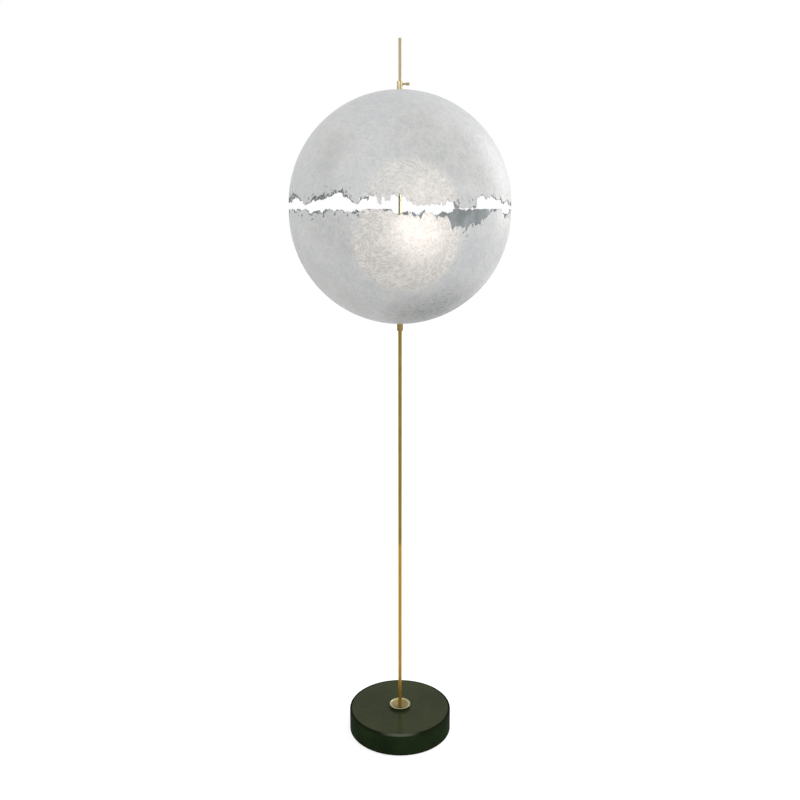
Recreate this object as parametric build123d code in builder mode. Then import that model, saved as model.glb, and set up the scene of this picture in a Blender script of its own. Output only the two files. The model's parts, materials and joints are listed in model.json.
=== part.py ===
from build123d import *
import os
from math import acos, atan2, ceil, cos, degrees, hypot, radians, sin, sqrt

# Globe floor lamp: a heavy disc foot, a stem of two brass tubes and a thin rod, and a globe of two
# torn fibreglass half bowls. All sizes are in millimetres. The origin is on the floor, on the stem's
# axis, with +Z up and -Y towards the viewer.

# ---- Driving sizes: whole lamp ----
rod_free_length = 109.35  # of the upper rod above its collar
gap_height = 1541.0  # floor to the middle of the gap between the bowls
rim_gap = 23.0  # between the two bowls' equators
bowl_radius = 300.0
bowl_wall = 3.0
stem_joint_height = 582.0  # floor to the joint of the two tubes

# ---- Foot ----
base_diameter = 301.0
base_height = 64.5
base_edge_radius = 3.0
base_foot_chamfer = 1.5
pad_thickness = 2.5
pad_inset = 6.0  # how far the pad's edge lies inside the disc's
recess_diameter = 90.0
web_thickness = 18.0  # between the hollow and the disc's top
cover_thickness = 1.5
cover_sink = 2.5  # from the disc's underside up to the cover, room for screw heads
ledge_width = 9.5
cover_play = 0.5
screw_diameter = 4.0
screw_length = 11.0  # of thread, in the disc
earth_screw_length = 10.0
tap_spare = 1.0  # hole left beyond a screw's end
screw_head_diameter = 7.8
screw_head_height = 2.1
cover_screw_count = 3
inlet_height = 20.0
inlet_hole_diameter = 12.0
inlet_bore = 7.0  # what a mains cord goes through
grommet_length = 12.0
grommet_flange_diameter = 17.0
grommet_flange_thickness = 2.5
inlet_spot_depth = 2.0

# ---- Wiring in the foot ----
block_width = 26.0
block_depth = 18.0
block_height = 14.0
block_front = 15.0  # from the stem's axis to the block's near face
block_ways = 3
block_pitch = 8.0
block_hole_diameter = 3.4
block_screw_diameter = 3.0
earth_screw_place = (-26.0, -14.0)
flex_diameter = 4.0
flex_foot_bend = 9.0
flex_foot_height = 14.0

# ---- Stem ----
tube_diameter = 10.0
tube_wall = 1.0
rod_diameter = 8.0
rod_end_chamfer = 0.5
stud_bore = 5.6
stud_grip = 22.0  # how far the stud reaches into the lower tube
stud_spare = 2.0  # what shows below the nut
stud_nut_rim = 2.5  # thinnest wall of the stud's nut
stud_nut_height = 5.0
stud_washer_diameter = 26.0
stud_washer_thickness = 1.5
lock_washer_diameter = 16.0
lock_washer_thickness = 1.0
lock_washer_teeth = 10
joiner_length = 44.0
dish_diameter = 61.6  # the dish at the foot of the stem
dish_height = 9.1
dish_sheet = 1.4
dish_floor_diameter = 23.0
dish_lip = 1.6  # of the steeper rim round the dish's flared side
dish_edge = 0.4

# ---- Fits ----
seat_play = 0.05  # radial, between pieces screwed or pushed together for good
stud_clearance = 0.3  # radial, round the stud
slide_play = 0.08  # radial, between the upper rod and what slides on it
turn_gap = 0.25  # between the upper bowl and what it turns on

# ---- Bowls and what clamps them ----
hub_thickness = 7.0  # of the flat-floored pole inside a bowl
sleeve_wall = 3.3
sleeve_length = 21.0
lower_spigot_wall = 1.45
collar_wall = 4.17
collar_length = 21.9
upper_spigot_wall = 1.92
spigot_spare = 1.5
clamp_washer_diameter = 46.0
clamp_washer_thickness = 1.5
clamp_nut_height = 6.0
clamp_nut_rim = 3.0  # thinnest wall of a clamp nut
edge_break = 0.6  # small chamfer on turned brass
grub_depth = 10.0  # of the grub screw below the sleeve's top
grub_socket_width = 2.0
thumb_height = 15.5  # of the thumb screw above the upper bowl
thumb_neck_diameter = 5.6
thumb_neck_length = 5.0
thumb_waist_diameter = 3.8
thumb_waist_length = 1.5
thumb_head_diameter = 7.6
thumb_head_length = 10.5
thumb_grooves = 16
thumb_groove_depth = 0.35

# ---- Torn rims ----
rim_line = 1.5  # where the two rims would meet, above the middle of the gap
rim_clearance = 1.5  # height between the lower bowl's highest tips and the upper bowl's lowest
tear_reach = 50.0  # length of a tear's cut, across the wall
tear_over = 6.0  # how far a cut starts outside the rim
tear_sectors = 12  # each is cut on a plane of its own
tear_step = 1.6  # degrees between the points of a torn line
tear_roughness = 2.4
# Where each torn line turns, as (azimuth in degrees, height above the middle of the gap). The viewer is at -90.
# No line passes its rim level, and it runs along that level where a turn lies past it.
lower_turns = (
    (-176, -4), (-160, 2), (-143, 0), (-139, -11), (-132, -8), (-128, -12), (-125.5, 2), (-114, -1),
    (-111, -10), (-107, -2), (-104, 3), (-98, 2), (-94, -5), (-85, -6), (-83.5, -18), (-82, -10),
    (-80.5, -27), (-79, -8), (-75, -12), (-71, -20), (-68, -12), (-65.7, -33), (-64.2, -48),
    (-63, -37), (-58, -39), (-57, -50), (-56, -38), (-49, -34), (-46, -17), (-40, -7), (-36, 2),
    (-32, 1), (-29, -4), (-25.5, -21), (-21, -10), (-12, -3), (2, -8), (12, -14), (20, -4), (28.5, 2),
    (30.3, -15), (32, 2), (42.5, 4), (44.5, -11), (46.5, 3), (49, -5), (51, 3), (56.5, 2), (61.5, -16),
    (64.5, -7), (67, -15), (74, -18), (75.5, -3), (78.5, -17), (81.5, -4), (84, -9), (94, -9),
    (95.5, 2), (107, -4), (109, 4), (111, -6), (133, -2), (135, 4), (140, -12), (142, -1), (147, -2),
    (149, -14), (160, -6),
)
upper_turns = (
    (-176, 20), (-165, 30), (-157, 36), (-151.5, 30), (-149, 20), (-143, 15), (-135, 24), (-129.5, 30),
    (-128.3, 44), (-127.2, 33), (-124, 35), (-120, 47), (-117.5, 43), (-116.5, 31), (-113, 24),
    (-110.5, 9), (-109.2, 11), (-108.7, 26), (-105, 24), (-103.5, 33), (-101, 31), (-100, 11),
    (-98.6, 10), (-98.2, 35), (-96.5, 20), (-94.5, 22), (-93.5, 33), (-88.5, 32), (-86.5, 21),
    (-84, 8), (-76, 8), (-74.5, 17), (-72.8, 16), (-72, 11), (-68.5, 12), (-67, 17), (-63.8, 17),
    (-63, 8), (-58, 2), (-52, 2), (-51, 32), (-47, 34), (-44, 26), (-39, 31), (-36, 25), (-31, 24),
    (-27, 13), (-22, 20), (-17, 12), (-8, 12), (4, 18), (12, 24), (15, 17), (20, 30), (28, 38),
    (34, 44), (40.7, 42), (41.5, 1), (43, 1), (44.5, 10), (46.5, 3), (49, 13), (51.5, 6), (53, 1),
    (56.5, 1), (58, 22), (63, 30), (84, 27), (86, 46), (100, 48), (105.5, 40), (108.5, 38), (109, 25),
    (112, 30), (114, 25), (118.5, 24), (122, 31), (124.5, 36), (125.5, 48), (130, 47), (134, 34),
    (139, 30), (146, 23), (150, 27), (160, 36), (170, 28),
)

# ---- Lamp holder, its arm and the bulb ----
bulb_x = 43.0
bulb_y = -95.0
bulb_drop = 56.0  # from the middle of the gap down to the middle of the bulb
bulb_radius = 30.0
bulb_length = 106.0  # contact tip to crown
bulb_glass_wall = 1.2
bulb_neck_step = 0.3  # from the bulb's cap in to its glass
bulb_cap_diameter = 27.0
bulb_cap_length = 26.0
bulb_tip_diameter = 9.0
bulb_tip_length = 2.0
bulb_cap_taper = 4.0
thread_clearance = 0.3  # radial, bulb cap to screw shell
thread_shell_wall = 0.6
contact_height = 2.2
contact_width = 6.0
contact_length = 16.0
insulator_play = 0.2  # radial, inside the cap
insulator_height = 14.0
holder_drop = 38.0  # from the bulb's contact tip down to the holder's underside
cap_diameter = 38.0
cap_height = 30.0
cap_wall = 2.0
cap_boss_diameter = 16.0
cap_boss_height = 6.0
cap_taper = 9.0  # height of the sloping shoulder above the boss
cap_brim = 3.0  # of the steep step between shoulder and side
skirt_wall = 2.15
skirt_overlap = 8.0
skirt_lip = 3.0
skirt_grooves = 12
skirt_groove_radius = 1.2
arm_diameter = 9.0
arm_wall = 1.0
arm_bend = 18.0
arm_rise = 8.0  # straight stretch between the bend and the holder
arm_grip = 8.0  # how far the arm reaches into the holder
arm_nut_width = 15.0
arm_nut_height = 4.0
coupler_diameter = 27.0
coupler_wall = 3.0
coupler_room = 11.0  # chamber below the arm's axis, for the flex's bend
coupler_head = 8.0  # chamber above the arm's axis
socket_depth = 12.0
coupler_lid_height = 12.0
lid_spigot = 4.0
flex_coupler_bend = 8.0

# ---- Levels and shared sizes that follow ----
base_top = pad_thickness + base_height
base_radius = base_diameter / 2
cover_base = pad_thickness + cover_sink
ledge_level = cover_base + cover_thickness
recess_top = base_top - web_thickness
ledge_radius = recess_diameter / 2 + ledge_width
cover_screw_ring = recess_diameter / 2 + ledge_width / 2
tube_bore = tube_diameter - 2 * tube_wall
stud_diameter = tube_bore - 2 * seat_play
stud_hole_radius = stud_diameter / 2 + stud_clearance
stud_nut_width = stud_diameter + 2 * stud_nut_rim
washer_level = recess_top - stud_washer_thickness
lock_level = washer_level - lock_washer_thickness
nut_level = lock_level - stud_nut_height
dish_floor_top = base_top + dish_sheet
lower_equator = gap_height - rim_gap / 2
upper_equator = gap_height + rim_gap / 2
lower_rim_level = gap_height + rim_line - rim_clearance / 2
upper_rim_level = gap_height + rim_line + rim_clearance / 2
lower_pole = lower_equator - bowl_radius
upper_pole = upper_equator + bowl_radius
bowl_inner_radius = bowl_radius - bowl_wall
hub_level = bowl_radius - hub_thickness  # from a bowl's centre to its flat inner floor
hub_floor_radius = sqrt(bowl_inner_radius**2 - hub_level**2)
arc_angle = radians(45.0)
sleeve_diameter = tube_diameter + 2 * (seat_play + sleeve_wall)
lower_spigot_diameter = tube_diameter + 2 * (seat_play + lower_spigot_wall)
collar_diameter = rod_diameter + 2 * (slide_play + collar_wall)
upper_spigot_diameter = rod_diameter + 2 * (slide_play + upper_spigot_wall)
lower_hole_radius = lower_spigot_diameter / 2 + 2 * seat_play
upper_hole_radius = upper_spigot_diameter / 2 + turn_gap
lower_nut_width = lower_spigot_diameter + 2 * clamp_nut_rim
upper_nut_width = upper_spigot_diameter + 2 * clamp_nut_rim
clamp_stack = clamp_washer_thickness + clamp_nut_height + spigot_spare
thumb_level = upper_pole + thumb_height
collar_base = upper_pole + turn_gap
total_height = collar_base + collar_length + rod_free_length
bulb_height = gap_height - bulb_drop
bulb_tip_level = bulb_height + bulb_radius - bulb_length
holder_base = bulb_tip_level - holder_drop
cap_top = holder_base + cap_height
insulator_top = bulb_tip_level - thread_clearance - contact_height
insulator_diameter = cap_diameter - 2 * (cap_wall + insulator_play)
arm_level = holder_base - arm_rise - arm_bend
arm_reach = hypot(bulb_x, bulb_y)
arm_azimuth = atan2(bulb_y, bulb_x)
arm_plane = Plane(
    origin=(0, 0, arm_level),
    x_dir=(cos(arm_azimuth), sin(arm_azimuth), 0),
    z_dir=(sin(arm_azimuth), -cos(arm_azimuth), 0),
)
coupler_radius = coupler_diameter / 2
chamber_radius = coupler_radius - coupler_wall
coupler_base = arm_level - coupler_room - socket_depth
coupler_top = arm_level + coupler_head
bulb_glass_base = bulb_tip_level + bulb_cap_length
bulb_neck_radius = bulb_cap_diameter / 2 - bulb_neck_step


def tear_plane(azimuth):
    """A plane that faces outwards at an azimuth in degrees, behind the wall, with its origin level with the gap."""
    a = radians(azimuth)
    start = bowl_radius - tear_reach + 10.0
    return Plane(
        origin=(start * cos(a), start * sin(a), gap_height),
        x_dir=(-sin(a), cos(a), 0),
        z_dir=(cos(a), sin(a), 0),
    )


def torn_line(turns, rim_level, way):
    """Points of one torn line: its turns, and uneven points between. way is 1 for a rim that points up, else -1."""
    level = rim_level - gap_height
    line = []
    for (start, low), (end, high) in zip(turns, [*turns[1:], (turns[0][0] + 360.0, turns[0][1])]):
        count = ceil((end - start) / tear_step)
        for i in range(count):
            azimuth = start + (end - start) * i / count
            rough = tear_roughness * sin(12.9 * azimuth) * cos(4.1 * azimuth) if i else 0.0
            height = low + (high - low) * i / count + rough
            line.append((azimuth, way * min(way * height, way * level)))
    return line


def tear_outline(line, azimuth, over):
    """Corners of one sector's cut in its plane: along the torn line, and back past the rim at the height over."""
    half = 180.0 / tear_sectors + 0.1
    turned = sorted(((a - azimuth + 180.0) % 360.0 - 180.0, height) for a, height in line)
    inside = [point for point in turned if abs(point[0]) < half - 0.3]
    first, last = turned.index(inside[0]), turned.index(inside[-1])
    ends = []
    for (a, low), (b, high), edge in ((turned[first - 1], inside[0], -half), (inside[-1], turned[last + 1], half)):
        ends.append((edge, low + (high - low) * (edge - a) / (b - a)))
    corners = [(bowl_radius * sin(radians(turn)), height) for turn, height in (ends[0], *inside, ends[1])]
    return [(corners[0][0], over), *corners, (corners[-1][0], over)]


def bulb_tangent_point(radius, neck_radius):
    """Where a straight neck touches the bulb's round part, from its middle, for an outer or inner radius."""
    drop = bulb_height - bulb_glass_base
    a = atan2(drop, neck_radius) - acos(radius / hypot(neck_radius, drop))
    return (radius * cos(a), -radius * sin(a))


# ================= Foot =================

with BuildPart() as base_disc:
    with BuildSketch(Plane.XY.offset(pad_thickness)):
        Circle(base_radius)
    extrude(amount=base_height)
    fillet(base_disc.edges().group_by(Axis.Z)[-1], base_edge_radius)
    chamfer(base_disc.edges().group_by(Axis.Z)[0], base_foot_chamfer)
    # Hollow for the nut and the wiring, with a ledge for its cover
    with BuildSketch(Plane.XY.offset(pad_thickness)):
        Circle(ledge_radius)
    extrude(amount=cover_sink + cover_thickness, mode=Mode.SUBTRACT)
    with BuildSketch(Plane.XY.offset(ledge_level)):
        Circle(recess_diameter / 2)
    extrude(amount=recess_top - ledge_level, mode=Mode.SUBTRACT)
    # Tapped holes of the cover's screws and of the earth screw
    with BuildSketch(Plane.XY.offset(ledge_level)):
        with PolarLocations(cover_screw_ring, cover_screw_count, start_angle=30):
            Circle(screw_diameter / 2 + seat_play)
    extrude(amount=screw_length + tap_spare, mode=Mode.SUBTRACT)
    with BuildSketch(Plane.XY.offset(recess_top)):
        with Locations(earth_screw_place):
            Circle(screw_diameter / 2 + seat_play)
    extrude(amount=earth_screw_length + tap_spare, mode=Mode.SUBTRACT)
    # Stud hole through the web
    with BuildSketch(Plane.XY.offset(recess_top)):
        Circle(stud_hole_radius)
    extrude(amount=base_top - recess_top, mode=Mode.SUBTRACT)
    # Cord inlet at the back, with a spot face for the grommet
    with BuildSketch(Plane(origin=(0, 0, inlet_height), z_dir=(0, 1, 0))):
        Circle(inlet_hole_diameter / 2)
    extrude(amount=base_diameter, mode=Mode.SUBTRACT)
    with BuildSketch(Plane(origin=(0, base_radius - inlet_spot_depth, inlet_height), z_dir=(0, 1, 0))):
        Circle(grommet_flange_diameter / 2 + 0.5)
    extrude(amount=2 * inlet_spot_depth, mode=Mode.SUBTRACT)
base_disc.part.label = "base_disc"

with BuildPart() as base_pad:
    with BuildSketch():
        Circle(base_radius - pad_inset)
        Circle(ledge_radius + 3.0, mode=Mode.SUBTRACT)
    extrude(amount=pad_thickness)
base_pad.part.label = "base_pad"

with BuildPart() as base_cover:
    with BuildSketch(Plane.XY.offset(cover_base)):
        Circle(ledge_radius - cover_play)
        with PolarLocations(cover_screw_ring, cover_screw_count, start_angle=30):
            Circle(screw_diameter / 2 + 0.3, mode=Mode.SUBTRACT)
    extrude(amount=cover_thickness)
base_cover.part.label = "base_cover"

with BuildPart() as cover_screws:
    with BuildSketch(Plane.XY.offset(cover_base - screw_head_height)):
        with PolarLocations(cover_screw_ring, cover_screw_count, start_angle=30):
            Circle(screw_head_diameter / 2)
    extrude(amount=screw_head_height)
    chamfer(cover_screws.edges().group_by(Axis.Z)[0], edge_break)
    with BuildSketch(Plane.XY.offset(cover_base)):
        with PolarLocations(cover_screw_ring, cover_screw_count, start_angle=30):
            Circle(screw_diameter / 2)
    extrude(amount=cover_thickness + screw_length)
cover_screws.part.label = "cover_screws"

with BuildPart() as inlet_grommet:
    inlet_face = Plane(origin=(0, base_radius - inlet_spot_depth, inlet_height), z_dir=(0, 1, 0))
    with BuildSketch(inlet_face):
        Circle(grommet_flange_diameter / 2)
    extrude(amount=grommet_flange_thickness)
    fillet(inlet_grommet.edges().group_by(Axis.Y)[-1], edge_break)
    with BuildSketch(inlet_face):
        Circle(inlet_hole_diameter / 2 - seat_play)
    extrude(amount=-grommet_length)
    with BuildSketch(inlet_face.offset(-grommet_length)):
        Circle(inlet_bore / 2)
    extrude(amount=grommet_length + grommet_flange_thickness, mode=Mode.SUBTRACT)
inlet_grommet.part.label = "inlet_grommet"

block_middle = block_front + block_depth / 2
block_places = [((i - (block_ways - 1) / 2) * block_pitch, block_middle) for i in range(block_ways)]
wire_level = flex_foot_height - ledge_level

with BuildPart() as terminal_block:
    with BuildSketch(Plane.XY.offset(ledge_level)):
        with Locations((0, block_middle)):
            RectangleRounded(block_width, block_depth, 1.5)
    extrude(amount=block_height)
    # A wire hole along each way, and a screw hole down to it
    with BuildSketch(Plane(origin=(0, block_front, flex_foot_height), x_dir=(1, 0, 0), z_dir=(0, -1, 0))):
        with Locations(*[(x, 0) for x, _ in block_places]):
            Circle(block_hole_diameter / 2)
    extrude(amount=-block_depth, mode=Mode.SUBTRACT)
    with BuildSketch(Plane.XY.offset(flex_foot_height)):
        with Locations(*block_places):
            Circle(block_screw_diameter / 2 + seat_play)
    extrude(amount=block_height, mode=Mode.SUBTRACT)
terminal_block.part.label = "terminal_block"

with BuildPart() as terminal_screws:
    with BuildSketch(Plane.XY.offset(flex_foot_height)):
        with Locations(*block_places):
            Circle(block_screw_diameter / 2)
    extrude(amount=block_height - wire_level - 1.0)
    with BuildSketch(Plane.XY.offset(ledge_level + block_height - 1.6)):
        with Locations(*block_places):
            Rectangle(block_screw_diameter + 1.0, 0.6)
    extrude(amount=1.0, mode=Mode.SUBTRACT)
terminal_screws.part.label = "terminal_screws"

with BuildPart() as earth_screw:
    with BuildSketch(Plane.XY.offset(recess_top - screw_head_height)):
        with Locations(earth_screw_place):
            Circle(screw_head_diameter / 2)
    extrude(amount=screw_head_height)
    chamfer(earth_screw.edges().group_by(Axis.Z)[0], edge_break)
    with BuildSketch(Plane.XY.offset(recess_top)):
        with Locations(earth_screw_place):
            Circle(screw_diameter / 2)
    extrude(amount=earth_screw_length)
earth_screw.part.label = "earth_screw"

# ================= Stem =================

with BuildPart() as stem_dish:
    with BuildSketch(Plane.XZ):
        with BuildLine():
            floor_r, rim_r = dish_floor_diameter / 2, dish_diameter / 2
            rim_top = base_top + dish_height
            Polyline(
                (stud_hole_radius, base_top),
                (floor_r, base_top),
                (rim_r - dish_lip, rim_top - dish_sheet - dish_lip),
                (rim_r, rim_top - dish_sheet),
                (rim_r, rim_top - dish_edge),
                (rim_r - dish_edge, rim_top),
                (rim_r - dish_lip, rim_top),
                (rim_r - dish_lip - dish_sheet, rim_top - dish_sheet),
                (floor_r - dish_sheet / 2, dish_floor_top),
                (stud_hole_radius, dish_floor_top),
                close=True,
            )
        make_face()
    revolve(axis=Axis.Z)
stem_dish.part.label = "stem_dish"

with BuildPart() as stem_stud:
    with BuildSketch(Plane.XY.offset(nut_level - stud_spare)):
        Circle(stud_diameter / 2)
        Circle(stud_bore / 2, mode=Mode.SUBTRACT)
    extrude(amount=dish_floor_top + stud_grip - nut_level + stud_spare)
    chamfer(stem_stud.edges().group_by(Axis.Z)[0].sort_by(SortBy.LENGTH)[-1], edge_break)
    chamfer(stem_stud.edges().group_by(Axis.Z)[-1].sort_by(SortBy.LENGTH)[-1], edge_break)
stem_stud.part.label = "stem_stud"

with BuildPart() as stud_washer:
    with BuildSketch(Plane.XY.offset(washer_level)):
        Circle(stud_washer_diameter / 2)
        Circle(stud_hole_radius, mode=Mode.SUBTRACT)
    extrude(amount=stud_washer_thickness)
stud_washer.part.label = "stud_washer"

with BuildPart() as lock_washer:
    with BuildSketch(Plane.XY.offset(lock_level)):
        Circle(lock_washer_diameter / 2)
        Circle(stud_hole_radius, mode=Mode.SUBTRACT)
        with PolarLocations(lock_washer_diameter / 2, lock_washer_teeth):
            Rectangle(3.0, 1.4, mode=Mode.SUBTRACT)
    extrude(amount=lock_washer_thickness)
lock_washer.part.label = "lock_washer"

with BuildPart() as stud_nut:
    with BuildSketch(Plane.XY.offset(nut_level)):
        RegularPolygon(stud_nut_width / 2, 6, major_radius=False)
        Circle(stud_diameter / 2 + seat_play, mode=Mode.SUBTRACT)
    extrude(amount=stud_nut_height)
stud_nut.part.label = "stud_nut"

with BuildPart() as lower_tube:
    with BuildSketch(Plane.XY.offset(dish_floor_top)):
        Circle(tube_diameter / 2)
        Circle(tube_bore / 2, mode=Mode.SUBTRACT)
    extrude(amount=stem_joint_height - dish_floor_top)
lower_tube.part.label = "lower_tube"

with BuildPart() as tube_joiner:
    with BuildSketch(Plane.XY.offset(stem_joint_height - joiner_length / 2)):
        Circle(stud_diameter / 2)
        Circle(stud_bore / 2, mode=Mode.SUBTRACT)
    extrude(amount=joiner_length)
tube_joiner.part.label = "tube_joiner"

middle_tube_top = coupler_base + socket_depth
with BuildPart() as middle_tube:
    with BuildSketch(Plane.XY.offset(stem_joint_height)):
        Circle(tube_diameter / 2)
        Circle(tube_bore / 2, mode=Mode.SUBTRACT)
    extrude(amount=middle_tube_top - stem_joint_height)
middle_tube.part.label = "middle_tube"

with BuildPart() as rod_coupler:
    with BuildSketch(Plane.XY.offset(coupler_base)):
        Circle(coupler_radius)
    extrude(amount=coupler_top - coupler_base)
    chamfer(rod_coupler.edges().group_by(Axis.Z)[0], 2 * edge_break)
    with BuildSketch(Plane.XY.offset(coupler_base)):
        Circle(tube_diameter / 2 + seat_play)
    extrude(amount=socket_depth, mode=Mode.SUBTRACT)
    with BuildSketch(Plane.XY.offset(middle_tube_top)):
        Circle(chamber_radius)
    extrude(amount=coupler_top - middle_tube_top, mode=Mode.SUBTRACT)
    # Side hole for the lamp arm
    with BuildSketch(Plane(origin=arm_plane.origin, z_dir=arm_plane.x_dir)):
        Circle(arm_diameter / 2 + seat_play)
    extrude(amount=coupler_diameter, mode=Mode.SUBTRACT)
rod_coupler.part.label = "rod_coupler"

rod_foot = coupler_top + coupler_lid_height - socket_depth + 1.0
with BuildPart() as coupler_lid:
    with BuildSketch(Plane.XY.offset(coupler_top)):
        Circle(coupler_radius)
    extrude(amount=coupler_lid_height)
    chamfer(coupler_lid.edges().group_by(Axis.Z)[-1], 2 * edge_break)
    with BuildSketch(Plane.XY.offset(coupler_top)):
        Circle(chamber_radius - seat_play)
    extrude(amount=-lid_spigot)
    with BuildSketch(Plane.XY.offset(rod_foot)):
        Circle(rod_diameter / 2 + seat_play)
    extrude(amount=socket_depth, mode=Mode.SUBTRACT)
coupler_lid.part.label = "coupler_lid"

with BuildPart() as upper_rod:
    with BuildSketch(Plane.XY.offset(rod_foot)):
        Circle(rod_diameter / 2)
    extrude(amount=total_height - rod_foot)
    chamfer(upper_rod.edges().group_by(Axis.Z)[-1], rod_end_chamfer)
upper_rod.part.label = "upper_rod"

flex_top = insulator_top - insulator_height
arm_end = (bulb_x, bulb_y)
with BuildPart() as inner_flex:
    with BuildLine() as flex_path:
        FilletPolyline(
            (0, block_front, flex_foot_height),
            (0, 0, flex_foot_height),
            (0, 0, arm_level),
            (*arm_end, arm_level),
            (*arm_end, flex_top),
            radius=[flex_foot_bend, flex_coupler_bend, arm_bend],
        )
    with BuildSketch(flex_path.line ^ 0):
        Circle(flex_diameter / 2)
    sweep()
inner_flex.part.label = "inner_flex"

# ================= Lower bowl =================

with BuildPart() as lower_sleeve:
    with BuildSketch(Plane.XY.offset(lower_pole - sleeve_length)):
        Circle(sleeve_diameter / 2)
    extrude(amount=sleeve_length)
    chamfer(lower_sleeve.edges().group_by(Axis.Z)[0], edge_break)
    with BuildSketch(Plane.XY.offset(lower_pole)):
        Circle(lower_spigot_diameter / 2)
    extrude(amount=hub_thickness + clamp_stack)
    with BuildSketch(Plane.XY.offset(lower_pole - sleeve_length)):
        Circle(tube_diameter / 2 + seat_play)
    extrude(amount=sleeve_length + hub_thickness + clamp_stack, mode=Mode.SUBTRACT)
    # Tapped hole of the grub screw, at the back
    with BuildSketch(Plane(origin=(0, 0, lower_pole - grub_depth), z_dir=(0, 1, 0))):
        Circle(screw_diameter / 2 + seat_play)
    extrude(amount=sleeve_diameter, mode=Mode.SUBTRACT)
lower_sleeve.part.label = "lower_sleeve"

grub_start = tube_diameter / 2 + seat_play / 2
with BuildPart() as sleeve_grub_screw:
    with BuildSketch(Plane(origin=(0, grub_start, lower_pole - grub_depth), z_dir=(0, 1, 0))):
        Circle(screw_diameter / 2)
    extrude(amount=sleeve_diameter / 2 - 0.3 - grub_start)
    with BuildSketch(Plane(origin=(0, sleeve_diameter / 2 - 0.3, lower_pole - grub_depth), z_dir=(0, 1, 0))):
        RegularPolygon(grub_socket_width / 2, 6, major_radius=False)
    extrude(amount=-1.6, mode=Mode.SUBTRACT)
sleeve_grub_screw.part.label = "sleeve_grub_screw"

with BuildPart() as lower_bowl:
    with BuildSketch(Plane.XZ):
        with BuildLine():
            z0 = lower_equator
            outside = ThreePointArc(
                (lower_hole_radius, z0 - sqrt(bowl_radius**2 - lower_hole_radius**2)),
                (bowl_radius * sin(arc_angle), z0 - bowl_radius * cos(arc_angle)),
                (sqrt(bowl_radius**2 - (lower_rim_level - z0) ** 2), lower_rim_level),
            )
            inner_rim_radius = sqrt(bowl_inner_radius**2 - (lower_rim_level - z0) ** 2)
            rim = Line(outside @ 1, (inner_rim_radius, lower_rim_level))
            inside = ThreePointArc(
                rim @ 1,
                (bowl_inner_radius * sin(arc_angle), z0 - bowl_inner_radius * cos(arc_angle)),
                (hub_floor_radius, z0 - hub_level),
            )
            Polyline(inside @ 1, (lower_hole_radius, z0 - hub_level), outside @ 0)
        make_face()
    revolve(axis=Axis.Z)
    # The rim is torn along its line in sectors, each cut through the wall on its own plane
    lower_line = torn_line(lower_turns, lower_rim_level, 1)
    for i in range(tear_sectors):
        azimuth = 360.0 * i / tear_sectors
        with BuildSketch(tear_plane(azimuth)):
            Polygon(*tear_outline(lower_line, azimuth, lower_rim_level - gap_height + tear_over), align=None)
    extrude(amount=tear_reach, mode=Mode.SUBTRACT)
lower_bowl.part.label = "lower_bowl"

lower_washer_level = lower_pole + hub_thickness
with BuildPart() as lower_washer:
    with BuildSketch(Plane.XY.offset(lower_washer_level)):
        Circle(clamp_washer_diameter / 2)
        Circle(lower_hole_radius, mode=Mode.SUBTRACT)
    extrude(amount=clamp_washer_thickness)
lower_washer.part.label = "lower_washer"

with BuildPart() as lower_nut:
    with BuildSketch(Plane.XY.offset(lower_washer_level + clamp_washer_thickness)):
        RegularPolygon(lower_nut_width / 2, 6, major_radius=False)
        Circle(lower_spigot_diameter / 2 + seat_play, mode=Mode.SUBTRACT)
    extrude(amount=clamp_nut_height)
lower_nut.part.label = "lower_nut"

# ================= Upper bowl =================

with BuildPart() as upper_collar:
    with BuildSketch(Plane.XY.offset(collar_base)):
        Circle(collar_diameter / 2)
    extrude(amount=collar_length)
    chamfer(upper_collar.edges().group_by(Axis.Z)[-1], edge_break)
    with BuildSketch(Plane.XY.offset(collar_base)):
        Circle(upper_spigot_diameter / 2)
    extrude(amount=-(hub_thickness + 2 * turn_gap + clamp_stack))
    with BuildSketch(Plane.XY.offset(collar_base + collar_length)):
        Circle(rod_diameter / 2 + slide_play)
    extrude(amount=-2 * (collar_length + hub_thickness + clamp_stack), mode=Mode.SUBTRACT)
    with BuildSketch(Plane(origin=(0, 0, thumb_level), z_dir=(1, 0, 0))):
        Circle(screw_diameter / 2 + seat_play)
    extrude(amount=collar_diameter, mode=Mode.SUBTRACT)
upper_collar.part.label = "upper_collar"

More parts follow.
